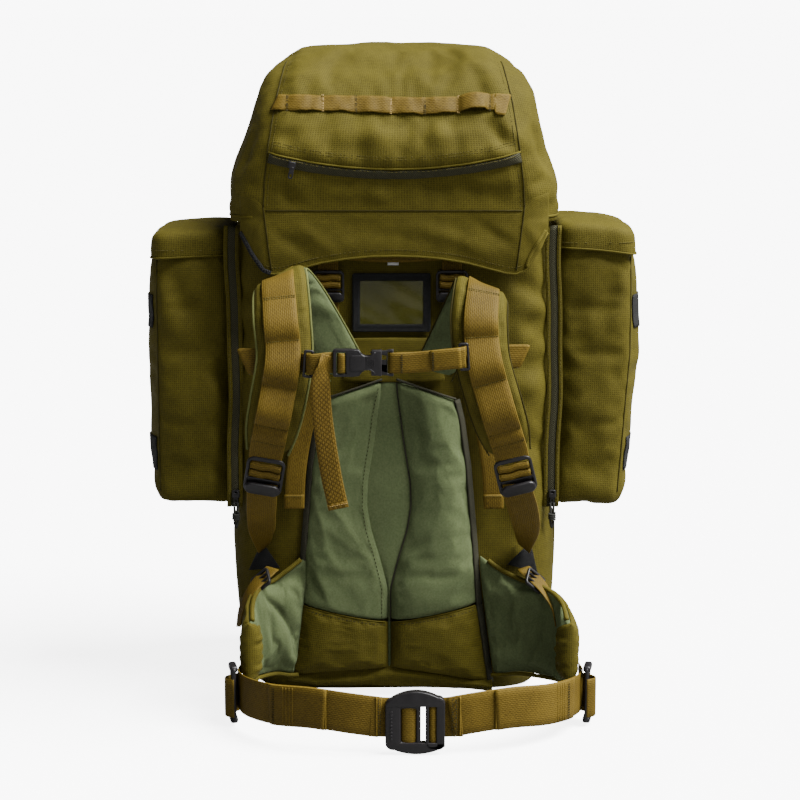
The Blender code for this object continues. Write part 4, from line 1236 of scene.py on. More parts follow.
def cushion(name, side, low, high, mat, seed, sewn):
    """One half of the padding, crowned between its sewn edges; sewn says which end meets the other cloth."""
    rows, columns, middle = 54, 30, -0.006
    face = -0.0303
    ts = np.linspace(0, 1, columns)
    grid = []
    for i in range(rows):
        u = i / (rows - 1)
        front, rear = [], []
        for t in ts:
            z = low(t) + (high(t) - low(t)) * u
            outer, inner = pad_edges(z)
            x = middle + (inner + (outer - inner) * t) * side
            depth = np.interp(z, (0.03, 0.07, 0.16, 0.40), (0.0195, 0.0205, 0.0180, 0.0150))
            crown = (1 - abs(2 * t - 1) ** 2.8) ** 0.55
            to_low, to_high = z - low(t), high(t) - z
            ends = min(1.0, 0.86 + to_high / 0.05 if sewn == "high" else 0.45 + to_high / 0.018,
                       0.86 + to_low / 0.05 if sewn == "low" else 0.50 + to_low / 0.014)
            front.append((x, face - 0.004 - (depth - 0.004) * crown * ends, z))
            rear.append((x, face, z))
        grid.append(front + rear[::-1])
    grid = np.array(grid)
    pins = rim_pins(grid, columns)
    grid = settle(grid, pins, pressure=2.2, shrink=-0.012, cap=0.004, frames=10, seed=10 + seed)
    face_y = grid[..., 1].copy()
    grid = crumple(grid, 0.0016, 14, seed, mask=np.where(pins > 0, 0, 1.0))
    grid[..., 1] = np.where(pins > 0, face_y, grid[..., 1])
    piece = surface(name, grid, mat, closed=True, caps=True)
    subdivide(piece)
    return piece, grid[:, :columns]


def make_back_padding():
    """The cushions against the back, the lumbar cushions below them, and their binding."""
    for k, (label, side) in enumerate(SIDES):
        hem, change, head = pad_levels(side)
        sage, front = cushion("back_cushion_" + label, side, change, head, LINING, 20 + k, "low")
        put(sage, "pack", "back_pad")
        olive, lower = cushion("lumbar_cushion_" + label, side, hem, change, CLOTH, 24 + k, "high")
        put(olive, "pack", "lumbar_pad")
        join = lower[-1][1:-1] + [0, -0.0003, 0]
        put(tube("pad_join_" + label, join, 0.0009, CLOTH, per=1), "pack")
        below = lower[-3][1:-1]
        put(stitches("pad_join_stitches_" + label, below + [0, -0.0005, -0.0015], BACKWARD, THREAD_DARK),
            "pack")
        # Dark mesh binding round the outer edge; its dark colour is also painted shade for the gap beside the
        # padding.
        edge = np.vstack([lower[:, -1], front[:, -1]])
        out = [(side * 0.6, -0.8, 0)] * len(edge)
        put(strap("pad_binding_" + label, edge + [side * 0.0015, -0.001, 0], out, 0.0085, BINDING_AND_SHADE, 0.0034,
                  per=1), "pack")
        # The left half's inner edge is topstitched, the right half's is a plain seam, drawn as a dark tube of
        # painted groove shade.
        if side < 0:
            inner = resample(front[1:-1, 2], 60) + [0, -0.0006, 0]
            put(stitches("pad_topstitch", inner, (0.3, -1, 0), THREAD_DARK, 0.0030, 0.0020, 0.0005), "pack")
        else:
            inner = resample(front[:, 0], 60) + [0, -0.0006, 0]
            put(tube("pad_inner_seam", inner, 0.0009, BINDING_AND_SHADE, per=1), "pack")
        # A thin dark tube along the cushion's top: painted shadow where the shoulder pads' roots shade it.
        top = resample(front[-1], 24) + [0, -0.001, 0.001]
        put(tube("pad_head_" + label, top, 0.0016, BINDING_AND_SHADE, per=1), "pack")
    middle = []
    for z in np.linspace(0.03, 0.408, 40):
        _, inner = pad_edges(z)
        middle.append([(-0.006 + inner * t * 1.3, -0.0325 - 0.0020 * (1 - t * t), z)
                       for t in np.linspace(-1, 1, 9)])
    put(solid(subdivide(surface("spine_panel", middle, LINING)), 0.0012, 0), "pack")
    # Below the hem the cloth of the pack's base shows in loose folds.
    columns, rows = 80, 10
    folds = np.zeros((rows, columns, 3))
    for j, x in enumerate(np.linspace(-0.136, 0.126, columns)):
        lower_edge = np.interp(x, (-0.136, -0.1, 0.0, 0.1, 0.126), (0.020, 0.0150, 0.0125, 0.0090, 0.0060))
        upper = np.interp(x, (-0.136, -0.006, 0.126), (0.034, 0.044, 0.026))
        for i in range(rows):
            t = i / (rows - 1)
            wave = 0.0035 * math.sin(t * 5.5 + x * 18) + 0.0018 * math.sin(t * 9 - x * 41)
            y = -0.0330 - 0.0075 * math.sin(math.pi * min(1, t * 1.2)) + wave * math.sin(math.pi * t)
            folds[i, j] = (x, y, lower_edge + (upper - lower_edge) * t)
    put(solid(subdivide(surface("base_folds", crumple(folds, 0.0020, 22, 28, closed=False), CLOTH)), 0.0014,
              0), "pack")


def make_window():
    """The ID window: a bound frame and a clear film."""
    low, high, mid = box("id_window_frame")
    width, height = high.x - low.x, high.z - low.z
    outer = plate(width / 2, height / 2, 0.003)
    inner = rounded(-width / 2 + 0.0095, width / 2 - 0.0095, -height / 2 + 0.0095, height / 2 - 0.0095, 0.002)
    mould("window_border", [outer, inner], 0.0022, 0.0007, (mid.x, mid.y - 0.0014, mid.z), "pack",
          "id_window_frame", mat=BLACK)
    for k, inset in enumerate((0.0022, 0.0072)):
        corners = [(-width / 2 + inset, -height / 2 + inset), (width / 2 - inset, -height / 2 + inset),
                   (width / 2 - inset, height / 2 - inset), (-width / 2 + inset, height / 2 - inset)]
        for j in range(4):
            a, b = corners[j], corners[(j + 1) % 4]
            path = [(mid.x + a[0] + (b[0] - a[0]) * t, mid.y - 0.0027, mid.z + a[1] + (b[1] - a[1]) * t)
                    for t in np.linspace(0.01, 0.99, 20)]
            put(stitches("window_stitch_%d_%d" % (k, j), path, BACKWARD, BLACK, 0.0022, 0.001, 0.0004),
                "pack")
    rows = []
    for z in np.linspace(-height / 2 + 0.008, height / 2 - 0.008, 14):
        rows.append([(mid.x + x, mid.y - 0.0012 - 0.0012 * math.sin(x * 70 + z * 55) * math.cos(z * 60),
                      mid.z + z) for x in np.linspace(-width / 2 + 0.008, width / 2 - 0.008, 22)])
    put(solid(subdivide(surface("window_film", rows, FILM, flip=True)), 0.0004, 0), "pack", "id_window_film")
    rows = [[(x, -0.0302 - 0.0022 * math.sin(max(0, min(1, (0.5675 - z) / 0.02)) * 3.1), z)
             for x in np.linspace(-0.008, 0.006, 4)] for z in np.linspace(0.5560, 0.5665, 6)]
    put(solid(surface("blank_tab", rows, LABEL, flip=True), 0.0006, 0), "pack")


def make_handle():
    """The grab handle under the flap."""
    low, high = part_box("grab_handle")
    xs = np.linspace(low.x, high.x, 9)
    path = [(x, -0.0318 - 0.0092 * math.cos(x / 0.058 * 1.5), 0.5745 - 0.002 * math.cos(x * 27)) for x in xs]
    put(strap("handle_web", path, BACKWARD, 0.0245, WEBBING, 0.0022, bow=0.001), "pack", "grab_handle")


def make_collar():
    """The draw cord in its hem, its lock, and the frame sheet inside the bag."""
    low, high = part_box("collar_drawcord")
    z = (low.z + high.z) / 2
    ordered = np.roll(ring((z, -0.130, 0.130, 0.015, 0.210, 0.045), 72), -36, axis=0)
    _, lock_high, lock = box("cord_lock_body")
    path = np.vstack([[(0.0035, lock_high.y, lock.z)], [(0.010, lock_high.y + 0.006, z)], ordered[3:-2],
                      [(-0.010, lock_high.y + 0.006, z)], [(-0.0035, lock_high.y, lock.z)]])
    if ordered[2, 0] < 0:
        path[[0, 1, -2, -1], 0] *= -1
    put(tube("drawcord", path, 0.0019, CORD, per=2), "pack", "collar_drawcord")
    for node, mat in (("cord_lock_body", PLASTIC), ("cord_lock_button", PLASTIC), ("frame_sheet", SHEET)):
        node_object = bpy.data.objects[node]
        node_object.data.materials.clear()
        node_object.data.materials.append(mat)


# ---------------------------------------------------------------- shoulder harness
PAD_PATH = {
    "left": ((0.058, -0.050, 0.424), (0.085, -0.060, 0.474), (0.114, -0.080, 0.522),
             (0.134, -0.105, 0.5455), (0.1365, -0.138, 0.541), (0.134, -0.161, 0.505),
             (0.131, -0.171, 0.460), (0.139, -0.173, 0.410), (0.147, -0.167, 0.372),
             (0.153, -0.158, 0.342)),
    "right": ((0.050, -0.050, 0.424), (0.070, -0.060, 0.466), (0.090, -0.080, 0.508),
              (0.1030, -0.105, 0.5335), (0.1045, -0.138, 0.531), (0.1020, -0.161, 0.500),
              (0.1060, -0.171, 0.457), (0.1205, -0.173, 0.405), (0.1315, -0.167, 0.370),
              (0.1400, -0.158, 0.342)),
}
PAD_SIDES = ((0.86, 0, -0.48), (0.84, 0, -0.52), (0.85, -0.15, -0.46), (0.88, -0.15, -0.42),
             (0.95, -0.05, -0.25), (1, 0, -0.05), (1, 0, 0.02), (1, 0, 0.14), (1, 0, 0.16), (1, 0, 0.16))
PAD_WIDTHS = (0.050, 0.052, 0.056, 0.062, 0.066, 0.068, 0.066, 0.066, 0.062, 0.050)
PAD_HALF = 0.0072
LOCK_AT = {"left": (-0.1575, -0.1550, 0.3125), "right": (0.1475, -0.1550, 0.3125)}
LOCK_LEAN = {"left": 10, "right": -14}


def outward(path, dirs):
    """Normals of a right-hand band, away from what it rests on."""
    return unit(np.cross(unit(np.gradient(np.asarray(path, float), axis=0)), np.asarray(dirs, float)))


def pad_half(path, normals, widths, height, rows, columns=22, per=8):
    """Half a pad: crowned on the side its normals face, flat at its middle plane."""
    path, normals = catmull(path, per), catmull(normals, per)
    widths = smooth(widths, per)
    both = resample(np.column_stack([path, normals, widths]), rows)
    across, out = frames_along(both[:, :3], both[:, 3:6])
    grid = []
    for k, (p, a, n, w) in enumerate(zip(both[:, :3], across, out, both[:, 6])):
        end = min(1.0, k / 2 + 0.4, (rows - 1 - k) / 2 + 0.4)
        row = [p + a * w * s + n * height * end * (1 - abs(2 * s) ** 3.2) ** 0.6
               for s in np.linspace(-0.5, 0.5, columns)]
        row += [p + a * w * s for s in np.linspace(0.5, -0.5, columns)[1:-1]]
        grid.append(row)
    return np.array(grid)


# The heights of the rows of stitches across the load webbing, and how far it bulges between them.
WEB_BREAKS = {"left": (0.5305, 0.4828, 0.4289, 0.3774, 0.3569),
              "right": (0.5355, 0.4864, 0.4325, 0.3725, 0.3569)}
WEB_LIFTS = {"left": (0.0018, 0.0052, 0.0080, 0.0088, 0.0026, 0.0010),
             "right": (0.0018, 0.0056, 0.0076, 0.0088, 0.0026, 0.0010)}
# Where the chest strap's webbing starts under the pad, its point's two corners, and their heights.
WEB_POINT = {"left": (0.1300, 0.1895, 0.1745, 0.4700, 0.4380),
             "right": (0.1050, 0.1645, 0.1515, 0.4745, 0.4460)}
# Where the short piece of webbing under the hook begins.
WEB_BRIDGE_X = {"left": 0.0985, "right": 0.0790}
WEB_WIDTHS = (0.0385, 0.0400, 0.0415, 0.0425, 0.0425, 0.0420, 0.0415, 0.0380)


def cells(breaks, heights, lean=1.7):
    """A lift that bulges webbing between its rows of stitches, more towards each cell's lower end."""
    def lift(along):
        out = np.zeros(len(along))
        for a, b, h in zip(breaks, breaks[1:], heights):
            inside = (along >= a) & (along <= b)
            t = (along[inside] - a) / (b - a)
            out[inside] = h * np.sin(math.pi * t ** lean) ** 0.75
        return out
    return lift


def make_shoulder_pads():
    """The shoulder pads, their lining and piping, and the load webbing sewn on them."""
    for k, (label, side) in enumerate(SIDES):
        path, dirs = np.array(PAD_PATH[label]), np.array(PAD_SIDES)
        normals = outward(path, dirs)
        flip = np.array([side, 1, 1])
        for name, sign, mat in (("pad_cloth_", 1, CLOTH), ("pad_lining_", -1, LINING)):
            columns = 22
            grid = pad_half(path * flip, normals * flip * sign, PAD_WIDTHS, PAD_HALF, 76, columns)
            pins = rim_pins(grid, columns - 1, 2)
            pins[:, 1] = 1
            if sign > 0:
                pins[28:, 4:18] = 0.85
            grid = settle(grid, pins, pressure=2.6, shrink=-0.03, cap=0.0035, frames=12, seed=30 + k)
            mask = np.where(pins >= 1, 0, 1.0) * np.where(pins > 0, 0.3, 1.0)
            grid = crumple(grid, 0.0022, 26, 31 + k + 3 * sign, mask=mask)
            pad = surface(name + label, grid, mat, closed=True, caps=True)
            subdivide(pad)
            put(pad, "pack", "shoulder_pad_" + label)
        # Piping down both edges of the pad: sage on the left; on the right a dark seam line whose colour is
        # painted groove shade.
        fine = catmull(path, 6)
        sides = unit(catmull(dirs, 6))
        wide = smooth(PAD_WIDTHS, 6)[:, None]
        for edge, sign in (("in", -1), ("out", 1)):
            line = (fine + sides * wide * sign * 0.503) * flip
            mat, radius = (PIPING, 0.0015) if side < 0 else (SEAM_SHADE, 0.0010)
            put(tube("pad_piping_%s_%s" % (edge, label), line, radius, mat, per=1), "pack")

        # The load webbing is sewn down in cells from the top of the shoulder to the ladder lock.
        start = 3
        lifts = np.full((len(path) - start, 1), PAD_HALF + 0.0014)
        lifts[-1] = 0.0040
        web_path = (path[start:] + normals[start:] * lifts + np.array([0.0015, 0, 0])) * flip
        # Its end goes through the ladder lock.
        inside = np.array(LOCK_AT[label]) + (-0.0030 * side, -0.0035, 0.0175)
        web_path = np.vstack([web_path, inside])
        web_normals = np.vstack([normals[start:], normals[-1:]]) * flip
        fine = resample(np.column_stack([catmull(web_path, 8), catmull(web_normals, 8)]), 400)
        along = running(fine[:, None, :3], 0)
        breaks = [0.0]
        for height in WEB_BREAKS[label]:
            below = np.nonzero((fine[:, 2] < height) & (along > 0.02))[0]
            breaks.append(along[below[0]])
        breaks.append(along[-1] + 0.002)
        put(strap("shoulder_web_" + label, web_path, web_normals, WEB_WIDTHS, WEBBING, per=16,
                  puff=cells(breaks, WEB_LIFTS[label]), bow=0.0008), "pack", "shoulder_webbing_" + label)
        for n, at in enumerate(breaks[1:-1]):
            row = fine[np.searchsorted(along, at)]
            t = fine[min(399, np.searchsorted(along, at) + 2), :3] - row[:3]
            t /= np.linalg.norm(t)
            normal = row[3:] / np.linalg.norm(row[3:])
            across = np.cross(t, normal)
            for d in (-0.0011, 0.0011):
                line = [row[:3] + across * w + t * d + normal * 0.0013
                        for w in np.linspace(-0.0195, 0.0195, 14)]
                put(stitches("web_bar_%s_%d_%s" % (label, n, "a" if d < 0 else "b"), line, normal, THREAD,
                             0.0022, 0.0006, 0.0005), "pack")

        # The chest strap's webbing runs under the load webbing and ends in a point outside the pad.
        under, top_out, low_out, top_z, low_z = WEB_POINT[label]
        rows = []
        for s in np.linspace(0, 1, 8):
            rows.append([((under + ((top_out - under) + (low_out - top_out) * w) * s) * side,
                          -0.1690 + 0.0060 * s + 0.0015 * math.sin(4 * w + 2 * s),
                          top_z + (low_z - top_z) * w) for w in np.linspace(0, 1, 6)])
        put(solid(subdivide(surface("web_end_" + label, rows, WEBBING, flip=side < 0)), 0.0016, 0), "pack")
        first = WEB_BRIDGE_X[label]
        height = CHEST[2] + HOOK_RISE[label]
        put(strap("web_bridge_" + label, [(first * side, CHEST[1] + 0.0045, height),
                                          ((first + 0.006) * side, CHEST[1] + 0.0085, height),
                                          ((first + 0.012) * side, CHEST[1] + 0.0135, height)],
                  (-0.25 * side, -1, 0), 0.0235, WEBBING), "pack")


def ladder_lock(name, width, height, depth, bars, side_rim, radius):
    """A webbing adjuster: slots between cross bars, in a frame with round corners."""
    outline = plate(width / 2, height / 2, radius, 8)
    slots = []
    for low, high in bars:
        slots.append(rounded(-width / 2 + side_rim, width / 2 - side_rim, low, high,
                             min(0.0030, (high - low) / 2.2)))
    return moulding(name, [outline] + slots, depth, min(0.0016, depth * 0.3))


def bent_bar(name, half, z, radius, mat, turn):
    """Webbing wrapped round a buckle's cross bar."""
    grid = []
    for x in np.linspace(-half, half, 16):
        sag = 0.0006 * math.sin(x * 300)
        grid.append([(x, -0.0012 + radius * 0.80 * math.sin(a), z + sag + radius * math.cos(a))
                     for a in np.linspace(0, TAU, 21)[:-1]])
    return turn(surface(name, np.array(grid), mat, closed=True, caps=True))


def make_ladder_locks():
    """The adjusters at the lower ends of the shoulder pads, with webbing round their bars."""
    for label, _ in SIDES:
        def turned(obj):
            return place(obj, LOCK_AT[label], turn_y=LOCK_LEAN[label], turn_x=13)
        put(turned(ladder_lock("lock_body_" + label, 0.0470, 0.0490, 0.0056,
                               ((-0.0125, -0.0048), (-0.0030, 0.0185)), 0.0040, 0.0095)), "pack",
            "shoulder_buckle_" + label)
        bar = moulding("lock_bar_" + label, [plate(0.0200, 0.0013, 0.0010)], 0.0040, 0.0008)
        place(bar, (0, 0.0012, 0.0070))
        put(turned(bar), "pack")
        shade = moulding("lock_back_" + label, [rounded(-0.0200, 0.0200, -0.0055, 0.0050, 0.0010)], 0.0020,
                         0.0004)
        place(shade, (0, 0.0012, -0.0060))
        put(turned(shade), "pack")
        lip = moulding("lock_lip_" + label, [rounded(-0.0212, 0.0212, -0.0095, 0.0070, 0.0080, 8)], 0.0056,
                       0.0020)
        place(lip, (0, -0.0048, -0.0152), turn_x=20)
        put(turned(lip), "pack")
        for n, (z, radius) in enumerate(((0.0122, 0.0047), (0.0020, 0.0049))):
            put(bent_bar("lock_web_%d_%s" % (n, label), 0.0188, z, radius, WEBBING, turned), "pack")


def make_lower_webbing():
    """The webbing from the ladder locks to the bag's lower corners."""
    for label, side in SIDES:
        flip = np.array([side, 1, 1])
        top = abs(LOCK_AT[label][0]) + 0.0035
        path = np.array(((0.1655, -0.0330, 0.1940), (0.165, -0.055, 0.209), (0.165, -0.092, 0.233),
                         (0.6 * 0.165 + 0.4 * top, -0.124, 0.262), (top, -0.1490, 0.290),
                         (top - 0.0010, -0.1525, 0.302)))
        dirs = np.array(((0.35, 0.55, -0.75), (0.50, 0.45, -0.60), (0.75, 0.3, -0.3), (0.95, 0.1, 0.10),
                         (1, 0, 0.17), (1, 0, 0.17)))
        normals = outward(path, dirs)
        widths = (0.020, 0.026, 0.034, 0.037, 0.0375, 0.0370)
        put(strap("lower_web_" + label, path * flip, normals * flip, widths, WEBBING, bow=0.0008), "pack",
            "lower_webbing_" + label)
        mould("lower_patch_" + label, [[(-0.021, -0.016), (0.019, -0.020), (0.003, 0.018)]], 0.0026, 0.0008,
              (0.168 * side, -0.0298, 0.184), "pack", turn_y=10 * side, mat=BLACK)


YOKE_LOCK_X = {"left": 0.0820, "right": 0.0725}


def make_yoke():
    """The yoke panel, and the webbing and adjusters that hang it from the frame."""
    low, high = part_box("yoke_panel")
    grid = []
    for z in np.linspace(low.z, high.z, 16):
        # The panel narrows a little towards its top.
        half = 0.066 + (0.060 - 0.066) * (z - low.z) / (high.z - low.z)
        row = [(half * s, high.y - 0.0052 * (1 - abs(s) ** 4) ** 0.6, z) for s in np.linspace(-1, 1, 34)]
        row += [(half * s, high.y, z) for s in np.linspace(1, -1, 34)[1:-1]]
        grid.append(row)
    grid = crumple(np.array(grid), 0.0010, 30, 40)
    put(subdivide(surface("yoke_cloth", grid, CLOTH, closed=True, caps=True)), "pack", "yoke_panel")
    for label, side in SIDES:
        flip = np.array([side, 1, 1])
        top = YOKE_LOCK_X[label]
        path = np.array(((top, -0.0330, 0.566), (top, -0.0335, 0.520), (0.4 * top + 0.0490, -0.0338, 0.480),
                         (0.0930, -0.0340, 0.420), (0.1120, -0.0360, 0.360), (0.1230, -0.0420, 0.300),
                         (0.1260, -0.0430, 0.248)))
        dirs = np.array(((1, 0, 0), (1, 0, 0), (0.99, 0, 0.12), (0.96, 0, 0.25), (0.96, 0, 0.25),
                         (1, 0, 0.12), (1, 0, 0)))
        normals = outward(path, dirs)
        put(strap("yoke_web_" + label, path * flip, normals * flip, 0.025, WEBBING, bow=0.0006), "pack",
            "yoke_webbing_" + label)
        end = path[-1] * flip
        put(strap("yoke_fold_" + label, [end + [0, -0.0020, 0.018], end + [0, -0.0022, 0.009],
                                         end + [0, -0.0020, 0]], BACKWARD, 0.0252, WEBBING, 0.0020), "pack")
        line = [end + np.array([x, -0.0034, 0.016]) for x in np.linspace(-0.011, 0.011, 8)]
        put(stitches("yoke_fold_stitches_" + label, line, BACKWARD, THREAD, 0.0020, 0.0006), "pack")
        at = (top * side, -0.0378, 0.5300)
        put(place(ladder_lock("yoke_lock_" + label, 0.0400, 0.0400, 0.0042,
                              ((-0.0100, -0.0050), (-0.0035, 0.0160)), 0.0034, 0.0060), at), "pack",
            "yoke_buckle_" + label)
        lip = moulding("yoke_lip_" + label, [rounded(-0.0178, 0.0178, -0.0060, 0.0050, 0.0050)], 0.0044,
                       0.0015)
        place(lip, (0, -0.0022, -0.0125), turn_x=14)
        put(place(lip, at), "pack")
        for k, z in enumerate((0.0108, 0.0018)):
            put(bent_bar("yoke_bar_%d_%s" % (k, label), 0.0152, z, 0.0042, WEBBING,
                         lambda obj: place(obj, at)), "pack")


# ---------------------------------------------------------------- chest strap
CHEST = (0.0, -0.192, 0.457)


def arc(cx, cz, r, start, stop, steps=10):
    """Points on an arc in the xz plane, between two angles in degrees."""
    return [(cx + r * math.cos(math.radians(a)), cz + r * math.sin(math.radians(a)))
            for a in np.linspace(start, stop, steps)]


HOOK_RISE = {"left": -0.002, "right": 0.0065}


def make_chest_strap():
    """The sternum strap: two loops, webbing, a side-release buckle and its loose tail."""
    y, z = CHEST[1], CHEST[2]
    for label, side, x in (("left", -1, -0.1020), ("right", 1, 0.0835)):
        mould("chest_loop_" + label,
              [plate(0.0062, 0.0168, 0.0030), rounded(-0.0030, 0.0034, -0.0136, 0.0136, 0.0014)], 0.0042,
              0.0012, (x, y + 0.0036, z + HOOK_RISE[label]), "pack", "chest_hook_" + label, turn_y=-4 * side)
    put(strap("chest_web_left", [(-0.1040, y + 0.0020, z - 0.002), (-0.0985, y - 0.0018, z - 0.0018),
                                 (-0.0900, y - 0.0022, z - 0.0012), (-0.0800, y - 0.0014, z),
                                 (-0.0715, y + 0.0006, z)], BACKWARD, 0.0250, WEBBING, bow=0.0006), "pack",
        "chest_webbing_left")
    for d in (0.0, 0.0011):
        line = [(-0.0842 + d, y - 0.0040, z + h) for h in np.linspace(-0.0112, 0.0112, 9)]
        put(stitches("chest_web_tack_%d" % (d > 0), line, BACKWARD, THREAD_DARK, 0.0020, 0.0006), "pack")

    # The socket: a ladder for the webbing, then a shell with a scooped mouth.
    cx = -0.0435
    shell = [(-0.0290, -0.0150), (-0.0290, 0.0150), (-0.0270, 0.0165), (-0.0060, 0.0165), (0.0010, 0.0158)]
    scoop_top = arc(0.0118, 0.0182, 0.0098, 196, 336, 12)
    scoop_low = arc(0.0118, -0.0182, 0.0098, 24, 164, 12)
    shell += scoop_top + [(0.0230, 0.0150), (0.0290, 0.0156), (0.0290, -0.0156),
                          (0.0230, -0.0150)] + scoop_low
    shell += [(0.0010, -0.0158), (-0.0060, -0.0165), (-0.0270, -0.0165)]
    slot = rounded(-0.0250, -0.0135, -0.0128, 0.0128, 0.0014)
    mould("chest_socket", [shell, slot], 0.0108, 0.0013, (cx, y, z), "pack", "chest_buckle_socket")
    for side in (-1, 1):
        lip = [(cx + px, y - 0.0046, z + side * pz) for px, pz in arc(0.0118, 0.0182, 0.0108, 200, 332, 12)]
        put(tube("chest_scoop_%d" % (side > 0), lip, 0.0011, PLASTIC, per=1), "pack")
    mould("chest_mouth", [rounded(0.0165, 0.0288, -0.0152, 0.0152, 0.0020)], 0.0100, 0.0012, (cx, y, z),
          "pack")
    mould("chest_socket_panel", [rounded(-0.0100, 0.0080, -0.0095, 0.0095, 0.0030)], 0.0024, 0.0010,
          (cx + 0.0010, y - 0.0050, z), "pack")
    for k in range(5):
        mould("chest_grip_%d" % k, [plate(0.0004, 0.0045, 0.0003)], 0.0012, 0.0003,
              (cx + 0.0120 + 0.0020 * k, y - 0.0054, z), "pack")
    put(strap("chest_bar", [(cx - 0.0235, y - 0.0005, z), (cx - 0.0215, y - 0.0050, z),
                            (cx - 0.0165, y - 0.0056, z), (cx - 0.0145, y - 0.0010, z)],
              [(-0.7, -1, 0), (-0.2, -1, 0), (0.2, -1, 0), (0.7, -1, 0)], 0.0238, WEBBING), "pack")

    plug = [(-0.030, -0.0032), (-0.030, 0.0032), (-0.004, 0.0036), (-0.004, 0.0085), (-0.018, 0.0105),
            (-0.024, 0.0120), (-0.012, 0.0145), (-0.004, 0.0150), (0.0000, 0.0162), (0.0045, 0.0162),
            (0.0045, -0.0162), (0.0000, -0.0162), (-0.004, -0.0150), (-0.012, -0.0145), (-0.024, -0.0120),
            (-0.018, -0.0105), (-0.004, -0.0085), (-0.004, -0.0036)]
    mould("chest_plug_body", [plug, rounded(-0.0024, 0.0014, -0.0128, 0.0128, 0.0012)], 0.0050, 0.0013,
          (-0.0050, y, z), "chest_plug", "chest_buckle_plug")

    line = ((-0.0060, 0.0010, 0.0), (-0.0025, -0.0022, 0.0), (0.0100, -0.0030, 0.0),
            (0.0300, -0.0018, 0.0012), (0.0550, -0.0030, 0.0038), (0.0760, -0.0036, 0.0060),
            (0.0850, -0.0012, 0.0066))
    put(strap("chest_web_right", [(px, y + py, z + pz) for px, py, pz in line], BACKWARD, 0.0250, WEBBING,
              bow=0.0006), "chest_plug", "chest_webbing_right")
    put(strap("chest_web_under", [(0.0030, y + 0.0014, z), (0.030, y + 0.0006, z + 0.0010),
                                  (0.060, y - 0.0004, z + 0.0042), (0.0820, y + 0.0014, z + 0.0062)],
              BACKWARD, 0.0246, WEBBING), "chest_plug")
    put(strap("chest_web_over", [(0.0440, y - 0.0040, z + 0.0026), (0.0620, y - 0.0052, z + 0.0046),
                                 (0.0800, y - 0.0052, z + 0.0062)], BACKWARD, 0.0248, WEBBING, bow=0.0006),
        "chest_plug")
    for n, x in enumerate((0.0085, 0.0097, 0.0455, 0.0467)):
        deep, rise = (0.0047, 0.0) if n < 2 else (0.0058, 0.0028)
        line = [(x, y - deep, z + rise + h) for h in np.linspace(-0.0115, 0.0115, 9)]
        put(stitches("chest_bartack_%d" % n, line, BACKWARD, THREAD_DARK, 0.0020, 0.0006), "chest_plug")

    tail_path = np.array(((-0.0800, y - 0.0040, z + 0.0100), (-0.0835, y - 0.0062, z - 0.0020),
                          (-0.0870, y - 0.0058, z - 0.0220), (-0.0850, y + 0.0010, z - 0.0700),
                          (-0.0760, y + 0.0080, z - 0.1350), (-0.0670, y + 0.0120, z - 0.1790)))
    tail_dirs = np.array(((0.45, 0.10, -0.10), (0.70, 0.75, 0.10), (0.93, 0.40, 0.05), (0.97, 0.20, 0.15),
                          (0.98, 0.05, 0.2), (0.97, 0, 0.2)))
    tail_normals = outward(tail_path, tail_dirs)
    put(strap("chest_tail_web", tail_path, tail_normals, (0.012, 0.018, 0.0235, 0.0245, 0.0250, 0.0245),
              WEBBING_TAIL, per=8, bow=0.0008), "pack", "chest_tail")
    end, out = tail_path[-1], tail_normals[-1]
    down = (tail_path[-1] - tail_path[-2]) / np.linalg.norm(tail_path[-1] - tail_path[-2])
    across = np.cross(down, out)
    put(strap("chest_tail_hem", [end - down * 0.0065 + out * 0.0018, end - down * 0.003 + out * 0.0020,
                                 end + down * 0.0004 + out * 0.0016], out, 0.0250, WEBBING_TAIL, 0.0018),
        "pack")
    line = [end - down * 0.0045 + out * 0.0030 + across * w for w in np.linspace(-0.0115, 0.0115, 9)]
    put(stitches("chest_tail_stitches", line, out, THREAD_LIGHT, 0.0020, 0.0006), "pack")


# ---------------------------------------------------------------- hip belt
BELT_SHIFT = 0.020
WING_PLAN = ((0.1120, -0.0335), (0.1335, -0.043), (0.156, -0.051), (0.181, -0.073), (0.196, -0.104),
             (0.199, -0.140))
WING_LOW = (0.030, 0.031, 0.035, 0.037, 0.041, 0.050)
WING_HIGH = (0.188, 0.171, 0.159, 0.153, 0.142, 0.121)
WING_SHIFT = (0.0, 0.0, 0.2, 0.5, 0.8, 1.0)
BELT_Y = -0.2715
# How far from the buckle's middle the webbing begins.
BELT_START = {"left": 0.0365, "right": 0.0465}


def wing_lines(side, rows):
    """Plan position, inward normal, low and high edge of a wing, from its root to its tip."""
    points = [(x * side + BELT_SHIFT * shift, y, low, high)
              for (x, y), low, high, shift in zip(WING_PLAN, WING_LOW, WING_HIGH, WING_SHIFT)]
    fine = resample(catmull(points, 8), rows)
    tangent = unit(np.gradient(fine[:, :2], axis=0))
    normal = np.column_stack([tangent[:, 1] * side, -tangent[:, 0] * side])
    return fine, tangent, normal


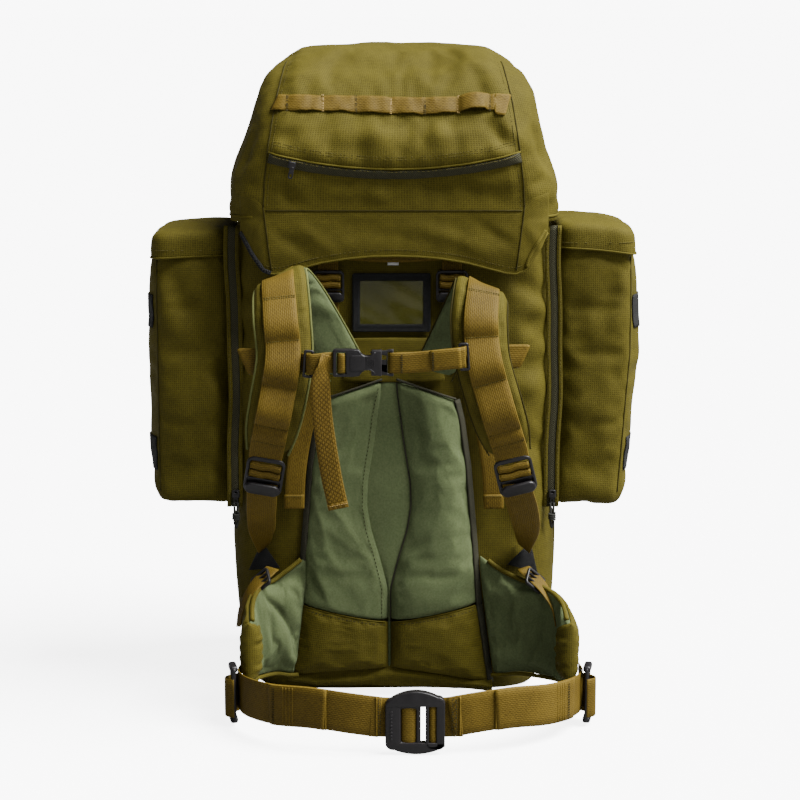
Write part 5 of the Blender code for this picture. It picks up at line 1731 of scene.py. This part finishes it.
def make_hip_wings():
    """The padded hip wings: sage lining, olive shell, rims and the cap round each tip."""
    rows, columns = 56, 30
    for k, (label, side) in enumerate(SIDES):
        fine, tangent, normal = wing_lines(side, rows)
        for name, sign, mat, depth in (("wing_lining_", 1, LINING, 0.0120),
                                       ("wing_cloth_", -1, CLOTH, 0.0095)):
            grid = []
            for i, (f, n) in enumerate(zip(fine, normal)):
                end = min(1.0, i / 7 + 0.25, ((rows - 1 - i) / 6) ** 0.6 + 0.12)
                row = []
                for t in np.linspace(0, 1, columns):
                    bulge = sign * depth * end * (1 - abs(2 * t - 1) ** 3.4) ** 0.55
                    row.append((f[0] + n[0] * bulge, f[1] + n[1] * bulge, f[2] + (f[3] - f[2]) * t))
                for t in np.linspace(1, 0, columns)[1:-1]:
                    row.append((f[0], f[1], f[2] + (f[3] - f[2]) * t))
                grid.append(row)
            grid = np.array(grid)
            # The root follows the padding's edge, which leans out towards the bottom.
            near = np.clip(1 - np.arange(rows) / 9, 0, 1)[:, None]
            part = (grid[..., 2] - 0.030) / 0.150
            grid[..., 0] += side * near * (0.016 - 0.020 * part)
            pins = rim_pins(grid, columns)
            pins[:3] = 1
            grid = settle(grid, pins, pressure=2.8, shrink=-0.055, cap=0.007, frames=14, seed=50 + k)
            grid = crumple(grid, 0.0030, 17, 50 + k + sign, stretch=(1.4, 1.4, 0.8),
                           mask=np.where(pins > 0, 0, 1.0))
            if sign > 0:
                grid = creases(grid, WING_CREASES, side)
            wing = surface(name + label, grid, mat, closed=True, caps=True, flip=(sign * side) > 0)
            subdivide(wing)
            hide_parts("hip_wing_" + label)
            bend_at_root(wing)

        # The outer cloth turns over the foam's edges, narrow along the top and broad round the tip.
        def rim_line(index, high, inward):
            f, n = fine[index], normal[index]
            return np.array((f[0] + n[0] * inward, f[1] + n[1] * inward, f[3] if high else f[2]))

        top = [rim_line(i, True, 0.0040) for i in range(4, rows - 3)]
        top_rim = tube("wing_piping_" + label, top, 0.0030, CLOTH, per=1, sides=12)
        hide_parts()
        bend_at_root(top_rim)
        cap_from = rows - 11
        tip, ahead, inward = fine[-1], tangent[-1], normal[-1]
        grid = []
        for h in np.linspace(0, 1, 36):
            at_height = (1 - abs(2 * h - 1) ** 3.4) ** 0.5
            z = tip[2] - 0.002 + (tip[3] - tip[2] + 0.004) * h
            slide = 0.0035 * math.sin(h * 23 + k * 2) + 0.0020 * math.sin(h * 51 + k)
            row = []
            for a in np.linspace(0, math.pi, 16):
                # From the inner face round the foam's end to its outer face.
                reach = (0.0160 + slide * (1 + math.cos(a)) / 2) * (1 if a < 1.6 else 0.8)
                forward = -reach + (reach + 0.0015) * math.sin(a) ** 0.8
                across = (0.0150 if a < math.pi / 2 else 0.0115) * math.cos(a)
                across *= at_height * (1 + 0.05 * math.sin(h * 37 + k))
                base = tip[:2] + ahead * forward * (0.75 + 0.25 * at_height) + inward * across
                row.append((base[0], base[1], z))
            grid.append(row)
        put(solid(subdivide(surface("wing_cap_" + label, grid, CLOTH, flip=side < 0)), 0.0014, 0),
            BODY[label]["belt"])
        put(tube("wing_cap_seam_" + label, [row[0] for row in grid[1:-1]], 0.0013, CLOTH, per=1),
            BODY[label]["belt"])
        low_edge = [rim_line(i, False, 0.0045) for i in range(6, cap_from + 3)]
        low_rim = tube("wing_lower_rim_" + label, low_edge, 0.0026, CLOTH, per=1, sides=12)
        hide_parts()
        bend_at_root(low_rim)


WING_CREASES = (((0.150, -0.055, 0.150), (0.172, -0.074, 0.060), 0.012, -0.0035),
                ((0.160, -0.060, 0.140), (0.186, -0.088, 0.070), 0.010, 0.0030),
                ((0.170, -0.066, 0.150), (0.200, -0.110, 0.090), 0.008, -0.0030),
                ((0.140, -0.050, 0.120), (0.150, -0.058, 0.050), 0.012, 0.0025))


def bend_at_root(piece):
    """Sewn to the pack at its root; its place is baked into its mesh."""
    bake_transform(piece)


def belt_line(side, label):
    """The belt webbing's line in plan on one side, from its glide to the buckle."""
    first = BELT_START[label]
    rows = ((first, 0.0006, 0.0445), (0.075, 0.003, 0.0490), (0.120, 0.016, 0.0520), (0.165, 0.044, 0.0475),
            (0.198, 0.083, 0.0445), (0.212, 0.124, 0.0420), (0.211, 0.160, 0.0410))
    return np.array([(BELT_SHIFT + side * x, BELT_Y + y, z) for x, y, z in rows])


def make_belt():
    """The belt webbing with its folds, glides and stitches."""
    for label, side in SIDES:
        body = BODY[label]["belt"]
        path = belt_line(side, label)
        tangent = unit(np.gradient(path, axis=0))
        out = np.column_stack([tangent[:, 1] * -side, tangent[:, 0] * side, np.zeros(len(path))])
        out *= np.sign(-out[0, 1]) or 1
        put(strap("belt_web_" + label, path, out, 0.0500, WEBBING, per=8, bow=0.0008), body,
            "hip_webbing_" + label)
        # A second layer is folded back from the glide and sewn down, ending in a fold nearer the buckle.
        line, outs = catmull(path, 12), catmull(out, 12)
        offset = np.abs(line[:, 0] - BELT_SHIFT)
        reach = (0.100, 0.171 if side < 0 else 0.196)
        inside = (offset > reach[0]) & (offset < reach[1]) & (line[:, 1] < BELT_Y + 0.085)
        layer_path, layer_out = line[inside], outs[inside]
        put(strap("belt_layer_" + label, layer_path + layer_out * 0.0026, layer_out, 0.0504, WEBBING,
                  thick=0.0024, per=1, bow=0.0012), body)
        fold = layer_path[0] + layer_out[0] * 0.0022
        put(tube("belt_fold_" + label, [fold + (0, 0, h) for h in np.linspace(-0.0245, 0.0245, 8)], 0.0013,
                 WEBBING, per=2), body)
        step = len(layer_path) - (3 if side < 0 else 4)
        for n, shift in enumerate((0.0, 0.0022)):
            at, o = layer_path[step], layer_out[step]
            t = np.cross(o, (0, 0, 1))
            row = [at + o * 0.0046 + t * shift + np.array([0, 0, h])
                   for h in np.linspace(-0.0225, 0.0225, 16)]
            put(stitches("belt_stitches_%s_%d" % (label, n), row, o, THREAD_DARK, 0.0024, 0.0008), body)
        # Raised warp cords near the layer's outer end.
        for n in range(4):
            step = len(layer_path) - 6 - n
            at, o = layer_path[step], layer_out[step]
            rib = [at + o * 0.0040 + np.array([0, 0, h]) for h in np.linspace(-0.0235, 0.0235, 10)]
            put(tube("belt_rib_%s_%d" % (label, n), rib, 0.0005, WEBBING, per=1, sides=6), body)
        # The glide and the loop of webbing outside it.
        turn = 90 - 10 * side
        glide = moulding("glide_" + label,
                         [plate(0.0150, 0.0355, 0.0060), rounded(-0.0112, -0.0026, -0.0290, 0.0290, 0.0022),
                          rounded(0.0026, 0.0112, -0.0290, 0.0290, 0.0022)], 0.0048, 0.0016)
        _, _, mid = box("hip_adjuster_" + label)
        put(place(glide, mid, turn_z=turn), body, "hip_adjuster_" + label)
        # A knuckle at each end of the glide's bars.
        for n, height in enumerate((-0.0322, 0.0322)):
            mould("glide_knuckle_%s_%d" % (label, n), [plate(0.0135, 0.0042, 0.0040)], 0.0095, 0.0028,
                  (mid.x, mid.y, mid.z + height), body, turn_z=turn)
        loop_path = [(mid.x - 0.006 * side, mid.y + 0.016, mid.z - 0.004),
                     (mid.x + 0.0060 * side, mid.y + 0.006, mid.z - 0.004),
                     (mid.x + 0.0095 * side, mid.y - 0.002, mid.z - 0.004),
                     (mid.x + 0.0070 * side, mid.y - 0.009, mid.z - 0.004),
                     (mid.x - 0.002 * side, mid.y - 0.015, mid.z - 0.004)]
        put(strap("glide_loop_" + label, loop_path, [(side * 0.5, 1, 0), (side, 0.5, 0), (side, 0, 0),
                                                     (side, -0.5, 0), (side * 0.5, -1, 0)], 0.0490, WEBBING,
                  per=5), body)


def make_waist_buckle():
    """A side-release buckle 70 mm across: a ribbed plug plate on the left, an arched socket round it."""
    cx, y = BELT_SHIFT, BELT_Y
    left, right = -0.0300, 0.0402
    span = right - left

    def rail(z_edge, z_inner, rise):
        """A rail whose outer side is arched between its ends."""
        pts = [(left + 0.0015 + (span - 0.0015) * t, z_edge + rise * math.sin(math.pi * t) ** 0.75)
               for t in np.linspace(0, 1, 26)]
        return pts + [(right, z_inner), (left + 0.0015, z_inner)]

    top = rail(0.0640, 0.0585, 0.0132)
    low = rail(0.0100, 0.0145, -0.0095)
    frame = rounded(0.0172, right, 0.0060, 0.0705, 0.0080, 8)
    window = rounded(0.0213, 0.0300, 0.0110, 0.0610, 0.0020)
    for name, lines, depth in (("socket_rail_top", [top], 0.0124), ("socket_rail_low", [low], 0.0120),
                               ("socket_frame", [frame, window], 0.0120)):
        mould(name, lines, depth, 0.0014, (cx, y, 0.0), "right_hip_belt", "waist_buckle_socket")
    mould("plug_plate", [rounded(-0.0306, -0.0118, 0.0050, 0.0690, 0.0090, 8)], 0.0104, 0.0026,
          (cx, y - 0.0004, 0.0), "left_hip_belt", "waist_buckle_plug")
    for k in range(9):
        mould("plug_rib_%d" % k, [plate(0.0014, 0.0011, 0.0008)], 0.0016, 0.0005,
              (cx - 0.0235, y - 0.0062, 0.0190 + 0.0042 * k), "left_hip_belt")
    mould("plug_bars", [rounded(-0.0180, 0.0115, 0.0110, 0.0610, 0.0025),
                        rounded(-0.0120, 0.0062, 0.0150, 0.0560, 0.0022)], 0.0092, 0.0020, (cx, y, 0.0),
          "left_hip_belt")
    for name, x, wide, tall, body in (("plug_web", -0.0024, 0.0172, 0.0480, "left_hip_belt"),
                                      ("socket_web", 0.0262, 0.0092, 0.0480, "right_hip_belt")):
        rows = ((-0.52, 0.0030), (-0.46, -0.0010), (-0.25, -0.0030), (0, -0.0036), (0.25, -0.0030),
                (0.46, -0.0010), (0.52, 0.0030))
        path = [(cx + x + wide * s, y + d, 0.0352) for s, d in rows]
        normals = [(-1, -0.4, 0), (-0.8, -0.8, 0), (-0.3, -1, 0), (0, -1, 0), (0.3, -1, 0), (0.8, -0.8, 0),
                   (1, -0.4, 0)]
        put(strap(name, path, normals, tall, WEBBING, per=5), body)
    # Webbing sewn round each half's end bar, with a zig-zag on the right.
    left_end, right_end = cx - 0.0385, cx + 0.0485
    for j, d in enumerate((0.0, 0.0022)):
        line = [(left_end + d, y - 0.0016, 0.0450 + h) for h in np.linspace(-0.0235, 0.0235, 16)]
        put(stitches("belt_end_left_%d" % j, line, BACKWARD, THREAD_DARK, 0.0026, 0.0008), "left_hip_belt")
        line = [(right_end + 0.0052 * j, y - 0.0016, 0.0450 + h) for h in np.linspace(-0.0235, 0.0235, 16)]
        put(stitches("belt_end_right_%d" % j, line, BACKWARD, THREAD_DARK, 0.0026, 0.0008), "right_hip_belt")
    zig = resample([(right_end + 0.0052 * (n % 2), y - 0.0018, 0.0215 + 0.0047 * n) for n in range(11)], 60)
    put(stitches("belt_end_zigzag", zig, BACKWARD, THREAD_DARK, 0.0022, 0.0007), "right_hip_belt")
    for label, near, far in (("left", -0.0240, -0.0480), ("right", 0.0350, 0.0600)):
        reach = [(cx + far + (near - far) * t, y + 0.0008 + 0.0036 * t, 0.0452 - 0.0020 * t)
                 for t in (0, 0.35, 0.7, 1)]
        put(strap("belt_reach_" + label, reach, BACKWARD, 0.0490, WEBBING, per=4, bow=0.0004),
            BODY[label]["belt"])
    for label, x in (("left", left_end - 0.0025), ("right", right_end + 0.0095)):
        put(tube("belt_end_fold_" + label, [(x, y - 0.0006, 0.0455 + h)
                                            for h in np.linspace(-0.0245, 0.0245, 8)], 0.0011, WEBBING,
                 per=2), BODY[label]["belt"])


# ---------------------------------------------------------------- stabilisers, lid straps, front straps
def make_stabilisers():
    """Webbing from the bag's lower corners, through an adjuster on each wing and down its outer face."""
    for label, side in SIDES:
        at = np.array(((0.168 if side < 0 else 0.178) * side, -0.070, 0.160))
        body = BODY[label]["belt"]
        put(place(ladder_lock("stabiliser_" + label, 0.030, 0.027, 0.0040,
                              ((-0.0095, -0.0045), (-0.0018, 0.0030), (0.0055, 0.0095)), 0.0028, 0.005), at,
                  turn_y=40 * side, turn_x=-42, turn_z=20 * side), body)
        put(strap("stabiliser_web_" + label, [at + (-0.014 * side, 0.020, 0.012),
                                              at + (-0.002 * side, 0.004, 0.004),
                                              at + (0.012 * side, -0.010, -0.010),
                                              at + (0.023 * side, -0.020, -0.030),
                                              at + (0.027 * side, -0.027, -0.052)],
                  [(side * 0.3, -0.6, 0.8), (side * 0.3, -0.6, 0.8), (side * 0.6, -0.5, 0.6),
                   (side, -0.4, 0.3), (side, -0.3, 0.1)], 0.020, WEBBING, per=5, bow=0.0005), body)


def sewn_line(name, hits, radius, body):
    """A piped seam along points found on a cloth surface, dark with painted groove shade."""
    put(tube(name, [point for point, _ in hits], radius, SEAM_SHADE, per=1), body)


def sewn_row(name, hits, body):
    """A row of stitches along points found on a cloth surface."""
    put(stitches(name, *zip(*hits), THREAD, 0.0030, 0.0008), body)


def make_far_seams(bag_skin, lid_skin):
    """The seams between the panels of the bag and of the lid, on the side away from the harness."""
    widths = np.linspace(-0.176, 0.176, 64)
    for n, z in enumerate((0.105, 0.360)):
        sewn_line("bag_seam_%d" % n, [bag_skin.front(x, z, 0.0004) for x in widths], 0.0011, "pack")
        sewn_row("bag_seam_row_%d" % n, [bag_skin.front(x, z + 0.007, 0.0004) for x in widths], "pack")
    for label, side in SIDES:
        heights = np.linspace(0.035, 0.575, 90)
        sewn_line("bag_corner_" + label, [bag_skin.front(0.178 * side, z, 0.0004) for z in heights], 0.0011,
                  "pack")
        sewn_row("bag_corner_row_" + label, [bag_skin.front(0.171 * side, z, 0.0004) for z in heights],
                 "pack")
        heights = np.linspace(0.640, 0.785, 40)
        insets = np.interp(heights, (0.640, 0.785), (0.166, 0.118))
        lines = [[lid_skin.front((x - shift) * side, z, 0.0004) for x, z in zip(insets, heights)]
                 for shift in (0, 0.007)]
        sewn_line("lid_far_seam_" + label, lines[0], 0.0011, "lid")
        sewn_row("lid_far_row_" + label, lines[1], "lid")
    sewn_row("lid_far_hem_row", [lid_skin.front(x, 0.632, 0.0004) for x in np.linspace(-0.17, 0.17, 64)],
             "lid")


def make_lid_straps(bag_skin):
    """The two straps that close the lid, and the sewn straps under them."""
    for label, side in SIDES:
        path = [(0.100 * side, 0.2766, 0.660), (0.100 * side, 0.2740, 0.610), (0.100 * side, 0.2695, 0.560),
                (0.100 * side, 0.2682, 0.490)]
        put(strap("lid_web_" + label, path, FORWARD, 0.025, WEBBING, bow=0.0006), "lid", "lid_strap_" + label)
        low, high, mid = box("lid_hook_" + label)
        height = high.z - low.z
        put(place(ladder_lock("lid_lock_" + label, high.x - low.x, height, high.y - low.y,
                              ((-height / 2 + 0.004, -height / 2 + 0.012), (-0.004, 0.003),
                               (0.008, height / 2 - 0.004)), 0.0036, 0.005), mid), "lid", "lid_hook_" + label)
        low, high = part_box("front_strap_" + label)
        zs = np.linspace(low.z + 0.001, high.z, 14)
        ys = np.interp(zs, (0.05, 0.17, 0.25, 0.476), (0.2580, 0.2652, 0.2652, 0.2632))
        # It lies on the cloth, also where the cloth swells.
        ys = [max(y, bag_skin.front(0.100 * side, z)[0].y + 0.0016) for y, z in zip(ys, zs)]
        path = [(0.100 * side, y, z) for y, z in zip(ys, zs)]
        put(strap("front_web_" + label, path, FORWARD, 0.025, WEBBING, bow=0.0006), "pack",
            "front_strap_" + label)


def make_zip_pulls():
    """The zip sliders' cord loops, on the points they have in the CAD."""
    for label, side in SIDES:
        eye = np.array((0.2025 * side, -0.0076, 0.2478))
        shape = ((-0.0024, 0, 0), (-0.0018, -0.0016, -0.0096), (-0.0022, -0.0022, -0.0224),
                 (0, -0.0022, -0.032), (0.0022, -0.0022, -0.0224), (0.0018, -0.0016, -0.0096), (0.0024, 0, 0))
        path = catmull([eye + np.array(p) for p in shape], 5)
        loop = tube("pull_cord_" + label, path, 0.0016, CORD, per=1, sides=10)
        put(loop, BODY[label]["zip"], "zip_pull_" + label)
        # A wrapped knot closes the loop below the slider.
        wraps = [eye + np.array((0.0038 * math.cos(a), 0.0028 * math.sin(a) - 0.0034, -0.0130 - 0.00044 * a))
                 for a in np.linspace(0, 3 * TAU, 46)]
        knot = tube("pull_knot_" + label, wraps, 0.0015, CORD, per=1)
        put(knot, BODY[label]["zip"])


make_stage()
bag_skin = Skin(make_bag())
make_collar()
lid_skin = make_lid()
make_far_seams(bag_skin, lid_skin)
make_lid_inside()
make_curtain(lid_skin)
make_pockets()
make_side_zips()
make_back_padding()
make_window()
make_handle()
make_shoulder_pads()
make_ladder_locks()
make_lower_webbing()
make_yoke()
make_chest_strap()
make_hip_wings()
make_belt()
make_waist_buckle()
make_stabilisers()
make_lid_straps(bag_skin)
make_zip_pulls()
